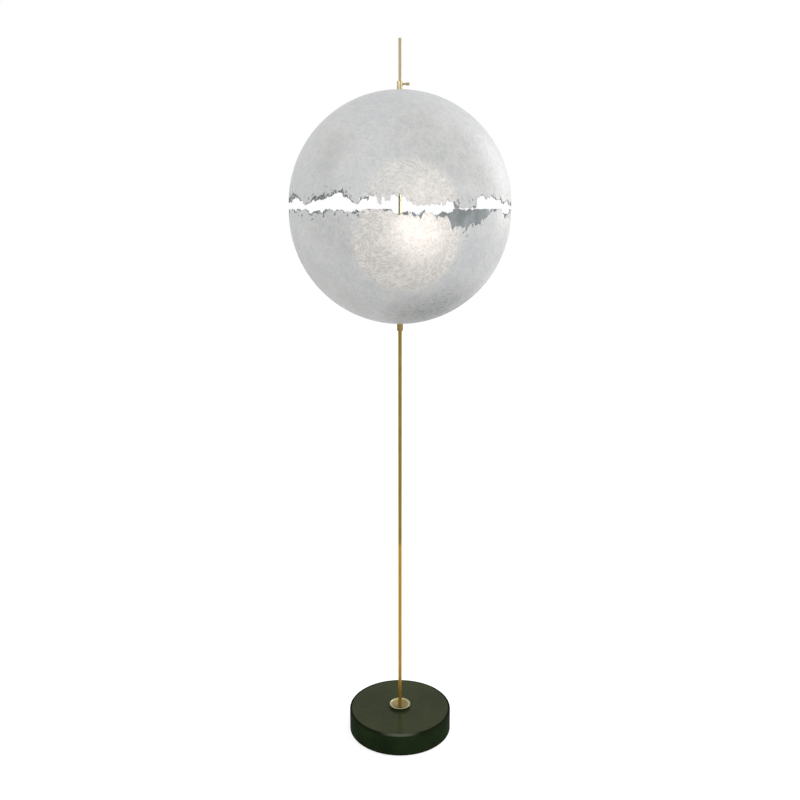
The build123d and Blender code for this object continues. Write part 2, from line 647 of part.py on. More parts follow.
thumb_start = rod_diameter / 2 + slide_play
thumb_neck_start = collar_diameter / 2 + turn_gap
thumb_waist_start = thumb_neck_start + thumb_neck_length
thumb_head_start = thumb_waist_start + thumb_waist_length
with BuildPart() as thumb_screw:
    with BuildSketch(Plane.XZ):
        with BuildLine():
            r_end = thumb_head_diameter / 2 - 1.2
            head_end = thumb_head_start + thumb_head_length
            shank = Polyline(
                (thumb_start, thumb_level),
                (thumb_start, thumb_level + screw_diameter / 2 - 0.5),
                (thumb_start + 0.5, thumb_level + screw_diameter / 2),
                (thumb_neck_start, thumb_level + screw_diameter / 2),
                (thumb_neck_start, thumb_level + thumb_neck_diameter / 2),
                (thumb_waist_start, thumb_level + thumb_neck_diameter / 2),
                (thumb_waist_start, thumb_level + thumb_waist_diameter / 2),
                (thumb_head_start, thumb_level + thumb_waist_diameter / 2),
                (thumb_head_start, thumb_level + thumb_head_diameter / 2 - edge_break),
                (thumb_head_start + edge_break, thumb_level + thumb_head_diameter / 2),
                (head_end - 1.2, thumb_level + thumb_head_diameter / 2),
            )
            crown = ThreePointArc(
                shank @ 1,
                (head_end - 0.35, thumb_level + r_end + 0.85),
                (head_end, thumb_level + r_end),
            )
            Polyline(crown @ 1, (head_end, thumb_level), shank @ 0)
        make_face()
    revolve(axis=Axis((0, 0, thumb_level), (1, 0, 0)))
    # Knurl of the head, as straight grooves
    with BuildSketch(Plane(origin=(thumb_head_start + edge_break, 0, thumb_level), z_dir=(1, 0, 0))):
        with PolarLocations(thumb_head_diameter / 2 + 0.15, thumb_grooves):
            Circle(thumb_groove_depth + 0.15)
    extrude(amount=thumb_head_length - 3 * edge_break, mode=Mode.SUBTRACT)
thumb_screw.part.label = "thumb_screw"

with BuildPart() as upper_bowl:
    with BuildSketch(Plane.XZ):
        with BuildLine():
            z0 = upper_equator
            outside = ThreePointArc(
                (upper_hole_radius, z0 + sqrt(bowl_radius**2 - upper_hole_radius**2)),
                (bowl_radius * sin(arc_angle), z0 + bowl_radius * cos(arc_angle)),
                (sqrt(bowl_radius**2 - (z0 - upper_rim_level) ** 2), upper_rim_level),
            )
            inner_rim_radius = sqrt(bowl_inner_radius**2 - (z0 - upper_rim_level) ** 2)
            rim = Line(outside @ 1, (inner_rim_radius, upper_rim_level))
            inside = ThreePointArc(
                rim @ 1,
                (bowl_inner_radius * sin(arc_angle), z0 + bowl_inner_radius * cos(arc_angle)),
                (hub_floor_radius, z0 + hub_level),
            )
            Polyline(inside @ 1, (upper_hole_radius, z0 + hub_level), outside @ 0)
        make_face()
    revolve(axis=Axis.Z)
    upper_line = torn_line(upper_turns, upper_rim_level, -1)
    for i in range(tear_sectors):
        azimuth = 360.0 * i / tear_sectors
        with BuildSketch(tear_plane(azimuth)):
            Polygon(*tear_outline(upper_line, azimuth, upper_rim_level - gap_height - tear_over), align=None)
    extrude(amount=tear_reach, mode=Mode.SUBTRACT)
upper_bowl.part.label = "upper_bowl"

upper_washer_level = upper_pole - hub_thickness - turn_gap
with BuildPart() as upper_washer:
    with BuildSketch(Plane.XY.offset(upper_washer_level)):
        Circle(clamp_washer_diameter / 2)
        Circle(upper_spigot_diameter / 2 + 2 * seat_play, mode=Mode.SUBTRACT)
    extrude(amount=-clamp_washer_thickness)
upper_washer.part.label = "upper_washer"

with BuildPart() as upper_nut:
    with BuildSketch(Plane.XY.offset(upper_washer_level - clamp_washer_thickness)):
        RegularPolygon(upper_nut_width / 2, 6, major_radius=False)
        Circle(upper_spigot_diameter / 2 + seat_play, mode=Mode.SUBTRACT)
    extrude(amount=-clamp_nut_height)
upper_nut.part.label = "upper_nut"

# ================= Lamp arm, holder and bulb =================

with BuildPart() as holder_arm:
    with BuildLine(arm_plane) as arm_path:
        FilletPolyline(
            (chamber_radius + 0.2, 0),
            (arm_reach, 0),
            (arm_reach, holder_base + arm_grip - arm_level),
            radius=arm_bend,
        )
    with BuildSketch(arm_path.line ^ 0):
        Circle(arm_diameter / 2)
        Circle(arm_diameter / 2 - arm_wall, mode=Mode.SUBTRACT)
    sweep()
holder_arm.part.label = "holder_arm"

with BuildPart() as arm_nut:
    with BuildSketch(Plane.XY.offset(holder_base - arm_nut_height)):
        with Locations(arm_end):
            RegularPolygon(arm_nut_width / 2, 6, major_radius=False)
            Circle(arm_diameter / 2 + seat_play, mode=Mode.SUBTRACT)
    extrude(amount=arm_nut_height)
arm_nut.part.label = "arm_nut"

bulb_axis = Axis((bulb_x, bulb_y, 0), (0, 0, 1))
bulb_plane = Plane(origin=(bulb_x, bulb_y, 0), x_dir=(1, 0, 0), z_dir=(0, -1, 0))
cap_radius = cap_diameter / 2
cap_bore = arm_diameter / 2 + seat_play
shoulder = holder_base + cap_boss_height
insulator_bottom = insulator_top - insulator_height

with BuildPart() as holder_cap:
    with BuildSketch(bulb_plane):
        with BuildLine():
            Polyline(
                (cap_bore, holder_base),
                (cap_boss_diameter / 2, holder_base),
                (cap_boss_diameter / 2, shoulder),
                (cap_radius - cap_brim, shoulder + cap_taper),
                (cap_radius, shoulder + cap_taper + cap_brim),
                (cap_radius, cap_top),
                (cap_radius - cap_wall, cap_top),
                (cap_radius - cap_wall, shoulder + cap_taper + cap_brim),
                (cap_radius - cap_brim - cap_wall / 2, shoulder + cap_taper + cap_wall / 2),
                (cap_boss_diameter / 2, shoulder + cap_wall),
                (cap_bore, shoulder + cap_wall),
                close=True,
            )
        make_face()
    revolve(axis=bulb_axis)
holder_cap.part.label = "holder_cap"

skirt_bore = cap_radius + seat_play
skirt_radius = skirt_bore + skirt_wall
thread_bore = bulb_cap_diameter / 2 + thread_clearance
skirt_top = bulb_glass_base + 1.0
with BuildPart() as holder_skirt:
    with BuildSketch(bulb_plane):
        with BuildLine():
            Polyline(
                (skirt_bore, cap_top - skirt_overlap),
                (skirt_radius, cap_top - skirt_overlap),
                (skirt_radius, skirt_top),
                (thread_bore, skirt_top),
                (thread_bore, skirt_top - skirt_lip),
                (skirt_bore, skirt_top - skirt_lip),
                close=True,
            )
        make_face()
    revolve(axis=bulb_axis)
    fillet(holder_skirt.edges().group_by(Axis.Z)[-1].sort_by(SortBy.LENGTH)[-1], 1.2)
    # Grip flutes round the skirt
    with BuildSketch(Plane.XY.offset(cap_top - skirt_overlap)):
        with Locations(arm_end):
            with PolarLocations(skirt_radius + 0.5, skirt_grooves):
                Circle(skirt_groove_radius)
    extrude(amount=skirt_top - cap_top, mode=Mode.SUBTRACT)
holder_skirt.part.label = "holder_skirt"

with BuildPart() as holder_insulator:
    with BuildSketch(Plane.XY.offset(insulator_bottom)):
        with Locations(arm_end):
            Circle(insulator_diameter / 2)
            with GridLocations(14.0, 0.1, 2, 1):
                Circle(1.8, mode=Mode.SUBTRACT)
    extrude(amount=insulator_height)
holder_insulator.part.label = "holder_insulator"

with BuildPart() as holder_thread:
    with BuildSketch(Plane.XY.offset(insulator_top)):
        with Locations(arm_end):
            Circle(thread_bore + thread_shell_wall)
            Circle(thread_bore, mode=Mode.SUBTRACT)
    extrude(amount=skirt_top - skirt_lip - insulator_top)
holder_thread.part.label = "holder_thread"

with BuildPart() as centre_contact:
    with BuildSketch(bulb_plane):
        with BuildLine():
            half = contact_length / 2
            leaf = ThreePointArc(
                (-half, insulator_top), (0, insulator_top + contact_height), (half, insulator_top)
            )
            Line(leaf @ 0, leaf @ 1)
        make_face()
    extrude(amount=contact_width / 2, both=True)
centre_contact.part.label = "centre_contact"

with BuildPart() as bulb_cap:
    with BuildSketch(bulb_plane):
        with BuildLine():
            Polyline(
                (0, bulb_tip_level),
                (bulb_tip_diameter / 2, bulb_tip_level),
                (bulb_tip_diameter / 2, bulb_tip_level + bulb_tip_length),
                (bulb_cap_diameter / 2, bulb_tip_level + bulb_tip_length + bulb_cap_taper),
                (bulb_cap_diameter / 2, bulb_glass_base),
                (0, bulb_glass_base),
                close=True,
            )
        make_face()
    revolve(axis=bulb_axis)
bulb_cap.part.label = "bulb_cap"

with BuildPart() as bulb_glass:
    with BuildSketch(bulb_plane):
        with BuildLine():
            # Outside: crown, round part, then a straight taper down to the neck
            outer_x, outer_z = bulb_tangent_point(bulb_radius, bulb_neck_radius)
            crown = ThreePointArc(
                (0, bulb_height + bulb_radius),
                (bulb_radius, bulb_height),
                (outer_x, bulb_height + outer_z),
            )
            inner_radius = bulb_radius - bulb_glass_wall
            neck_bore = bulb_neck_radius - bulb_glass_wall
            inner_x, inner_z = bulb_tangent_point(inner_radius, neck_bore)
            roof = ThreePointArc(
                (0, bulb_height + inner_radius),
                (inner_radius, bulb_height),
                (inner_x, bulb_height + inner_z),
            )
            Polyline(
                crown @ 1,
                (bulb_neck_radius, bulb_glass_base),
                (neck_bore, bulb_glass_base),
                roof @ 1,
            )
            Line(roof @ 0, crown @ 0)
        make_face()
    revolve(axis=bulb_axis)
bulb_glass.part.label = "bulb_glass"

# ================= Write one STEP for each piece =================

pieces = [
    base_disc, base_pad, base_cover, cover_screws, inlet_grommet, terminal_block, terminal_screws,
    earth_screw, stem_dish, stem_stud, stud_washer, lock_washer, stud_nut, lower_tube, tube_joiner,
    middle_tube, rod_coupler, coupler_lid, upper_rod, inner_flex, lower_sleeve, sleeve_grub_screw,
    lower_bowl, lower_washer, lower_nut, upper_collar, thumb_screw, upper_bowl, upper_washer,
    upper_nut, holder_arm, arm_nut, holder_cap, holder_skirt, holder_insulator, holder_thread,
    centre_contact, bulb_cap, bulb_glass,
]
os.makedirs("parts", exist_ok=True)
for piece in pieces:
    export_step(piece.part, f"parts/{piece.part.label}.step")
print(len(pieces), "pieces; arm reach", round(arm_reach, 1), "azimuth", round(degrees(arm_azimuth), 1))
print("bends of the flex", flex_foot_bend, flex_coupler_bend, arm_bend)
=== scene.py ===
"""Looks of a globe floor lamp: torn fibreglass bowls on a thin brass stem with a heavy foot.

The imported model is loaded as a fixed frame. Its brass, foot and holder pieces stay and get finishes
made of nodes. The two bowls are modelled anew with ragged, fringed rims, and stand for their nodes.
Lengths are in metres, and angles in degrees unless a line says otherwise.
"""

from __future__ import annotations

import json
import logging
import math
import random
from dataclasses import dataclass, field
from enum import Enum
from functools import reduce
from typing import Union

import bpy
import numpy as np
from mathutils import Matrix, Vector
from mathutils.bvhtree import BVHTree

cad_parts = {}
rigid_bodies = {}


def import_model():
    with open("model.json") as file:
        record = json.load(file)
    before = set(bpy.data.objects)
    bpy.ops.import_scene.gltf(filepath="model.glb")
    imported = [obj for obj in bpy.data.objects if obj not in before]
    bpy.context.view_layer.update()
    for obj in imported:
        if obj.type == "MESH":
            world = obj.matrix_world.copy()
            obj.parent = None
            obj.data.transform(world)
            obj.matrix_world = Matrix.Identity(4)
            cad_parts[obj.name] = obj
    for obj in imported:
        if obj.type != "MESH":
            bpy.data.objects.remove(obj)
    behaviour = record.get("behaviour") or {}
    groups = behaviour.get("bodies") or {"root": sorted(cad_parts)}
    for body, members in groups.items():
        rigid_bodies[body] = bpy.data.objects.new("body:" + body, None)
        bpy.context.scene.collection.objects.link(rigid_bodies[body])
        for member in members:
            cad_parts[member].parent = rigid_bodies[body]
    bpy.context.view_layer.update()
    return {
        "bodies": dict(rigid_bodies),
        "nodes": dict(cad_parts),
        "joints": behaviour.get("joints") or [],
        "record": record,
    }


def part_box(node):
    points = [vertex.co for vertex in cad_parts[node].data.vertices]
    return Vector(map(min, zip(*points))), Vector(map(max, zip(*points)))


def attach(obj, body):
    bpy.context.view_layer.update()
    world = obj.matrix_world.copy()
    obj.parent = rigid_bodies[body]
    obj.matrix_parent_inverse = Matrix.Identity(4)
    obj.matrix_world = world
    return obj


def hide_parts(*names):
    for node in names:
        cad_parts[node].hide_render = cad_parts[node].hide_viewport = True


Socket = bpy.types.NodeSocket
Tree = bpy.types.NodeTree
Material = bpy.types.Material
Piece = bpy.types.Object
Outputs = bpy.types.NodeOutputs
Colour = Point = tuple[float, float, float]
Pair = tuple[float, float]
Feed = Union[Socket, float, tuple]

LOG = logging.getLogger("globe_lamp")
GLOBE_RADIUS = 0.3
RIM_DISTANCE = "rim_distance"
WHITE = (1.0, 1.0, 1.0)
NOISE_MIDDLE = 0.5


def shade(red: int, green: int, blue: int) -> Colour:
    """A linear colour from display values, by the standard display curve.

    Args:
        red: Its red, from 0 to 255.
        green: Its green.
        blue: Its blue.

    Returns:
        The colour.
    """
    toe, toe_slope, offset, power = 0.04045, 12.92, 0.055, 2.4
    parts = [value / 255.0 for value in (red, green, blue)]
    return tuple(
        p / toe_slope if p <= toe else ((p + offset) / (1.0 + offset)) ** power for p in parts
    )


def grey(level: float) -> Colour:
    """A linear grey."""
    return (level, level, level)


def on_globe(azimuth: float, elevation: float) -> Point:
    """A point of the globe's surface, from its middle.

    Args:
        azimuth: How far round it is. At -90 it faces the viewer.
        elevation: How far up it is from the equator.

    Returns:
        The point.
    """
    a, e = math.radians(azimuth), math.radians(elevation)
    way = Vector((math.cos(a) * math.cos(e), math.sin(a) * math.cos(e), math.sin(e)))
    return tuple(way * GLOBE_RADIUS)


# --- Node trees ---


class Graph:
    """Adds nodes to one tree and links them."""

    def __init__(self, tree: Tree) -> None:
        """Keeps the tree that the nodes go into."""
        self.tree = tree

    def feed(self, socket: Socket, value: Feed) -> None:
        """Links a socket to another one, or sets its own value.

        Args:
            socket: The input that is fed.
            value: An output to link, a number, or a colour or vector.
        """
        if isinstance(value, Socket):
            self.tree.links.new(value, socket)
            return
        if socket.type == "RGBA" and len(value) == 3:
            value = (*value, 1.0)
        socket.default_value = value

    def node(self, kind: str, inputs: dict | None = None, **settings: object) -> bpy.types.Node:
        """Adds one node.

        Args:
            kind: The node's type without its "ShaderNode" start.
            inputs: Values or outputs for its inputs, by name or index.
            settings: Its other properties.

        Returns:
            The new node.
        """
        made = self.tree.nodes.new("ShaderNode" + kind)
        for name, value in settings.items():
            setattr(made, name, value)
        for name, value in (inputs or {}).items():
            self.feed(made.inputs[name], value)
        return made

    def math(self, operation: str, a: Feed, b: Feed = 0.0) -> Socket:
        """The outcome of one Math node."""
        return self.node("Math", {0: a, 1: b}, operation=operation).outputs[0]

    def plus(self, a: Feed, b: Feed) -> Socket:
        """The sum of two numbers."""
        return self.math("ADD", a, b)

    def minus(self, a: Feed, b: Feed) -> Socket:
        """The first number less the second."""
        return self.math("SUBTRACT", a, b)

    def times(self, a: Feed, b: Feed) -> Socket:
        """The product of two numbers."""
        return self.math("MULTIPLY", a, b)

    def most(self, a: Feed, b: Feed) -> Socket:
        """The larger of two numbers."""
        return self.math("MAXIMUM", a, b)

    def ramp(self, value: Feed, slope: float, start: float) -> Socket:
        """A number that rises from start in a straight line."""
        made = self.node("Math", {0: value, 1: slope, 2: start}, operation="MULTIPLY_ADD")
        return made.outputs[0]

    def vector(self, operation: str, a: Feed, b: Feed = (0.0, 0.0, 0.0)) -> Socket:
        """The outcome of one Vector Math node, as a number where the operation gives one."""
        made = self.node("VectorMath", {0: a, 1: b}, operation=operation)
        return made.outputs["Value" if operation in ("LENGTH", "DISTANCE") else "Vector"]

    def part(self, vector: Feed, axis: str) -> Socket:
        """One part of a vector, by its letter."""
        return self.node("SeparateXYZ", {0: vector}).outputs[axis]

    def from_axis(self, place: Feed) -> Socket:
        """How far a place is from the Z axis."""
        return self.vector("LENGTH", self.vector("MULTIPLY", place, (1.0, 1.0, 0.0)))

    def span(self, value: Feed, low: Feed, high: Feed, start: Feed, end: Feed) -> Socket:
        """A value that goes smoothly from start to end while its input goes from low to high."""
        sockets = dict(enumerate((value, low, high, start, end)))
        return self.node("MapRange", sockets, interpolation_type="SMOOTHSTEP").outputs["Result"]

    def blend(self, factor: Feed, a: Feed, b: Feed) -> Socket:
        """A colour between two."""
        return self.node("Mix", {0: factor, 6: a, 7: b}, data_type="RGBA").outputs[2]

    def noise(self, vector: Feed, scale: Feed, detail: float, **inputs: float) -> Socket:
        """The value of a noise texture, around 0.5."""
        sockets = {"Vector": vector, "Scale": scale, "Detail": detail, **inputs}
        return self.node("TexNoise", sockets).outputs[0]

    def group(self, tree: Tree, **inputs: Feed) -> Outputs:
        """Places a shared effect.

        Args:
            tree: The effect's group.
            inputs: Values or outputs for its inputs, by name.

        Returns:
            Its outputs.
        """
        made = self.tree.nodes.new("ShaderNodeGroup")
        made.node_tree = tree
        for name, value in inputs.items():
            self.feed(made.inputs[name], value)
        return made.outputs


class Effect:
    """A shader node group that several finishes share, built once."""

    def __init__(self, name: str, inputs: dict[str, str], outputs: dict[str, str]) -> None:
        """Starts the group with its sockets.

        Args:
            name: The group's name.
            inputs: Socket kinds by name: "Float", "Vector" or "Color".
            outputs: The same for what it puts out.
        """
        self.tree = bpy.data.node_groups.new(name, "ShaderNodeTree")
        for way, sockets in (("INPUT", inputs), ("OUTPUT", outputs)):
            for label, kind in sockets.items():
                self.tree.interface.new_socket(label, in_out=way, socket_type="NodeSocket" + kind)
        self.graph = Graph(self.tree)
        self.given = self.tree.nodes.new("NodeGroupInput").outputs
        self.result = self.tree.nodes.new("NodeGroupOutput").inputs


def curled_threads() -> Tree:
    """Thin curled lines, as chopped strands lie in a fibre mat: contour lines of a soft noise.

    Returns:
        The group.
    """
    effect = Effect(
        "curled_threads",
        {"Vector": "Vector", "Scale": "Float", "Width": "Float", "Seed": "Float"},
        {"Mask": "Float"},
    )
    g, given = effect.graph, effect.given
    sockets = {"Vector": given["Vector"], "Scale": given["Scale"], "W": given["Seed"]}
    sockets |= {"Detail": 1.5, "Roughness": 0.45, "Distortion": 0.5}
    texture = g.node("TexNoise", sockets, noise_dimensions="4D")
    away = g.math("ABSOLUTE", g.minus(texture.outputs[0], NOISE_MIDDLE))
    g.feed(effect.result["Mask"], g.span(away, 0.0, given["Width"], 1.0, 0.0))
    return effect.tree


def mottle() -> Tree:
    """Two colours in soft clouds, with a finer grain in them.

    Returns:
        The group.
    """
    effect = Effect(
        "mottle",
        {"Vector": "Vector", "Scale": "Float", "Grain": "Float", "Light": "Color", "Dark": "Color"},
        {"Color": "Color", "Mask": "Float", "Height": "Float"},
    )
    cloud_share, dark_below, light_above = 0.7, 0.36, 0.64
    g, given = effect.graph, effect.given
    clouds = g.noise(given["Vector"], given["Scale"], 3.0)
    grain = g.noise(given["Vector"], given["Grain"], 2.0)
    both = g.plus(g.times(clouds, cloud_share), g.times(grain, 1.0 - cloud_share))
    mask = g.span(both, dark_below, light_above, 0.0, 1.0)
    g.feed(effect.result["Color"], g.blend(mask, given["Dark"], given["Light"]))
    g.feed(effect.result["Mask"], mask)
    g.feed(effect.result["Height"], grain)
    return effect.tree


def tool_lines() -> Tree:
    """Fine lines that drawing leaves along Z on metal, or turning round Z.

    Returns:
        The group.
    """
    effect = Effect(
        "tool_lines",
        {"Vector": "Vector", "Pitch": "Float", "Turned": "Float"},
        {"Height": "Float", "Mask": "Float"},
    )
    draw_squeeze, line_low, line_high = 0.012, 0.4, 0.6
    g, given = effect.graph, effect.given
    heights = g.part(given["Vector"], "Z")
    rings = g.node("CombineXYZ", {"X": g.from_axis(given["Vector"]), "Z": heights}).outputs[0]
    drawn = g.vector("MULTIPLY", given["Vector"], (1.0, 1.0, draw_squeeze))
    chosen = g.node("Mix", {0: given["Turned"], 4: drawn, 5: rings}, data_type="VECTOR").outputs[1]
    fine = g.noise(chosen, given["Pitch"], 2.0)
    g.feed(effect.result["Height"], fine)
    g.feed(effect.result["Mask"], g.span(fine, line_low, line_high, 0.0, 1.0))
    return effect.tree


@dataclass
class Effects:
    """The shared effects, each built when the scene starts."""

    threads: Tree = field(default_factory=curled_threads)
    mottle: Tree = field(default_factory=mottle)
    lines: Tree = field(default_factory=tool_lines)


# --- Finishes ---


class Working(Enum):
    """How a piece of metal was made, which decides how its fine lines run."""

    DRAWN = 0.0
    TURNED = 1.0


class Surface(Graph):
    """The node tree of one material, with its Principled shader and the place of each point."""

    def __init__(self, name: str, effects: Effects, middle: Point) -> None:
        """Starts the material.

        Args:
            name: The material's name.
            effects: The shared effects.
            middle: The point of the object's own coordinates that places are measured from.
        """
        self.material = bpy.data.materials.new(name)
        self.material.use_nodes = True
        super().__init__(self.material.node_tree)
        self.effects = effects
        sockets = {"Vector": self.node("TexCoord").outputs["Object"]}
        sockets["Location"] = tuple(-part for part in middle)
        self.place = self.node("Mapping", sockets).outputs["Vector"]

    def give(self, **sockets: Feed) -> None:
        """Feeds the shader's own sockets, by name with underscores for spaces."""
        for label, value in sockets.items():
            self.feed(self.tree.nodes["Principled BSDF"].inputs[label.replace("_", " ")], value)

    def give_bump(self, height: Feed, bump: Pair) -> None:
        """Feeds a height through a Bump node, of some strength and depth, to the normal."""
        made = self.node("Bump", {"Height": height, "Strength": bump[0], "Distance": bump[1]})
        self.give(Normal=made.outputs["Normal"])

    def mottled(self, scale: float, grain: float, light: Colour, dark: Colour) -> Outputs:
        """Two colours in soft clouds, with a finer grain in them."""
        sockets = {"Scale": scale, "Grain": grain, "Light": light, "Dark": dark}
        return self.group(self.effects.mottle, Vector=self.place, **sockets)

    def lined(self, pitch: float, working: Working) -> Outputs:
        """The fine lines that a working leaves."""
        sockets = {"Pitch": pitch, "Turned": working.value}
        return self.group(self.effects.lines, Vector=self.place, **sockets)


@dataclass(frozen=True)
class Patches:
    """Where soft patches of noise show: a share that is none below low, and full above high."""

    scale: float
    detail: float
    low: float
    high: float
    full: float
    none: float = 0.0
    rough: float = 0.5

    def noise(self, s: Surface) -> Socket:
        """The noise itself."""
        return s.noise(s.place, self.scale, self.detail, Roughness=self.rough)

    def share(self, s: Surface, noise: Feed | None = None) -> Socket:
        """The share at each point, or for a value of the noise."""
        value = self.noise(s) if noise is None else noise
        return s.span(value, self.low, self.high, self.none, self.full)


@dataclass(frozen=True)
class Wander:
    """A soft noise that makes a border stray to both sides."""

    scale: float
    detail: float
    reach: float

    def stray(self, s: Surface) -> Socket:
        """How far the border strays at each point."""
        noise = s.noise(s.place, self.scale, self.detail)
        return s.times(s.minus(noise, NOISE_MIDDLE), self.reach)


@dataclass(frozen=True)
class Finish:
    """A named finish. Its effects are measured from a middle."""

    name: str
    middle: Point = field(default=(0.0, 0.0, 0.0), kw_only=True)

    def paint(self, s: Surface) -> None:
        """Adds the finish's own nodes to a surface."""
        raise NotImplementedError

    def material(self, effects: Effects) -> Material:
        """Builds the finish's material.

        Args:
            effects: The shared effects.

        Returns:
            The material.
        """
        surface = Surface(self.name, effects, self.middle)
        self.paint(surface)
        return surface.material


@dataclass(frozen=True)
class Metal(Finish):
    """Brass, steel or aluminium with tool lines and soft smudges."""

    bright: Colour
    aged: Colour
    roughness: float
    working: Working = Working.DRAWN
    metallic: float = 0.86
    pitch: float = 900.0
    smudge_scale: float = 28.0
    smudge_grain: float = 210.0
    smudge_gloss: float = 0.06
    line_share: float = 0.15
    bump: Pair = (0.12, 0.0004)

    def paint(self, s: Surface) -> None:
        """Aged smudges and lines in a bright ground.

        Args:
            s: The surface.
        """
        smudge = s.mottled(self.smudge_scale, self.smudge_grain, self.bright, self.aged)
        lines = s.lined(self.pitch, self.working)
        streak = s.times(lines["Mask"], self.line_share)
        rough = s.ramp(smudge["Mask"], -self.smudge_gloss, self.roughness + self.smudge_gloss)
        colour = s.blend(streak, smudge["Color"], self.aged)
        s.give(Metallic=self.metallic, Base_Color=colour, Roughness=rough)
        s.give_bump(lines["Height"], self.bump)


@dataclass(frozen=True)
class Moulded(Finish):
    """A plastic, rubber, felt or ceramic in two near colours, glossier where it is light."""

    light: Colour
    dark: Colour
    roughness: float
    cloud_scale: float = 30.0
    grain_scale: float = 900.0
    bump: Pair = (0.1, 0.0006)
    coat: Pair = (0.0, 0.1)
    sheen: float = 0.0
    duller: float = 0.05
    glossier: float = 0.04

    def paint(self, s: Surface) -> None:
        """Two near colours in a fine grain.

        Args:
            s: The surface.
        """
        grain = s.mottled(self.cloud_scale, self.grain_scale, self.light, self.dark)
        dull, glossy = self.roughness + self.duller, self.roughness - self.glossier
        rough = s.span(grain["Mask"], 0.0, 1.0, dull, glossy)
        s.give(Base_Color=grain["Color"], Roughness=rough, Sheen_Weight=self.sheen)
        s.give(Coat_Weight=self.coat[0], Coat_Roughness=self.coat[1])
        s.give_bump(grain["Height"], self.bump)


@dataclass(frozen=True)
class CastEnamel(Finish):
    """Satin enamel over a rough casting: greenish black. Its top is painted a little lighter and
    browner than its side, as light falls on it.

    The bands are pairs of lengths: edge_drop from the top's level, edge_inset from the outer
    radius, the arc of the painted highlight to each side of the front, and the band of painted
    shade up from the floor.
    """

    name: str = "cast_enamel"
    # The top's colours are painted lighter and browner than the side's: painted light on the top.
    top: Colour = shade(52, 58, 35)
    top_dark: Colour = shade(44, 51, 30)
    top_clouds: Pair = (11.0, 160.0)
    side: Colour = shade(30, 44, 22)
    side_dark: Colour = shade(22, 33, 16)
    side_clouds: Pair = (16.0, 240.0)
    # edge is painted shade in the top's rounded edge; line is painted shade where the side meets the
    # floor.
    edge: Colour = shade(20, 24, 13)
    line: Colour = shade(8, 10, 5)
    # A painted highlight on the front of the top's rounded edge.
    wear_and_highlight: Colour = shade(96, 98, 84)
    speck: Colour = shade(66, 72, 52)
    top_level: float = 0.0655
    top_turn: float = 0.0014
    radius: float = 0.1505
    # Where the painted shade at the edge, the painted highlight and the painted shade at the floor
    # lie.
    edge_drop: Pair = (0.004, 0.002)
    edge_inset: Pair = (0.0078, 0.0048)
    edge_share: float = 0.9
    highlight_arc: Pair = (0.01, 0.065)
    highlight_share: float = 0.8
    floor_shade_band: Pair = (0.0035, 0.008)
    pits: Patches = Patches(scale=420.0, detail=3.0, low=0.62, high=0.72, full=0.3)
    cloud_scale: float = 35.0
    roughness: Pair = (0.3, 0.16)
    coat: Pair = (0.04, 0.22)
    coat_roughness: float = 0.16
    bump: Pair = (0.1, 0.0012)

    def rings(self, s: Surface, height: Feed) -> tuple[Socket, Socket, Socket]:
        """Painted shade at the top's edge and at the floor, and a painted highlight at its front.

        Args:
            s: The surface.
            height: The height of each point.

        Returns:
            Three masks: the edge's painted shade, its painted highlight, the floor's painted shade.
        """
        low, top = (self.top_level - drop for drop in self.edge_drop)
        inner, outer = (self.radius - inset for inset in self.edge_inset)
        out = s.span(s.from_axis(s.place), inner, outer, 0.0, self.edge_share)
        edge = s.times(out, s.span(height, low, top, 0.0, 1.0))
        # The painted highlight on the front of the edge.
        arc = s.span(s.math("ABSOLUTE", s.part(s.place, "X")), *self.highlight_arc, 1.0, 0.0)
        front = s.times(s.math("LESS_THAN", s.part(s.place, "Y"), 0.0), arc)
        wear_and_highlight = s.times(s.times(edge, front), self.highlight_share)
        return edge, wear_and_highlight, s.span(height, *self.floor_shade_band, 1.0, 0.0)

    def paint(self, s: Surface) -> None:
        """Top and side, the top painted lighter as light falls, painted shade and a painted
        highlight at the edge, painted shade at the floor, and specks where the casting shows.

        Args:
            s: The surface.
        """
        height = s.part(s.place, "Z")
        on_top = s.span(height, self.top_level, self.top_level + self.top_turn, 0.0, 1.0)
        # The top's colours are painted lighter than the side's, as light falls on it.
        top = s.mottled(*self.top_clouds, self.top, self.top_dark)
        side = s.mottled(*self.side_clouds, self.side, self.side_dark)
        colour = s.blend(on_top, side["Color"], top["Color"])
        edge, wear_and_highlight, line = self.rings(s, height)
        pits = self.pits.noise(s)
        specks = self.pits.share(s, pits)
        # Painted shade at the edge and floor, a painted highlight at the front, then the casting's
        # specks.
        tints = (edge, self.edge), (wear_and_highlight, self.wear_and_highlight), (line, self.line), (specks, self.speck)
        for mask, tint in tints:
            colour = s.blend(mask, colour, tint)
        smoothest, rougher = self.roughness
        rough = s.ramp(s.noise(s.place, self.cloud_scale, 3.0), rougher, smoothest)
        coat = s.span(s.times(on_top, s.minus(1.0, edge)), 0.0, 1.0, *self.coat)
        s.give(Base_Color=colour, Roughness=rough, Coat_Weight=coat)
        s.give(Coat_Roughness=self.coat_roughness, Specular_IOR_Level=0.0)
        s.give_bump(pits, self.bump)


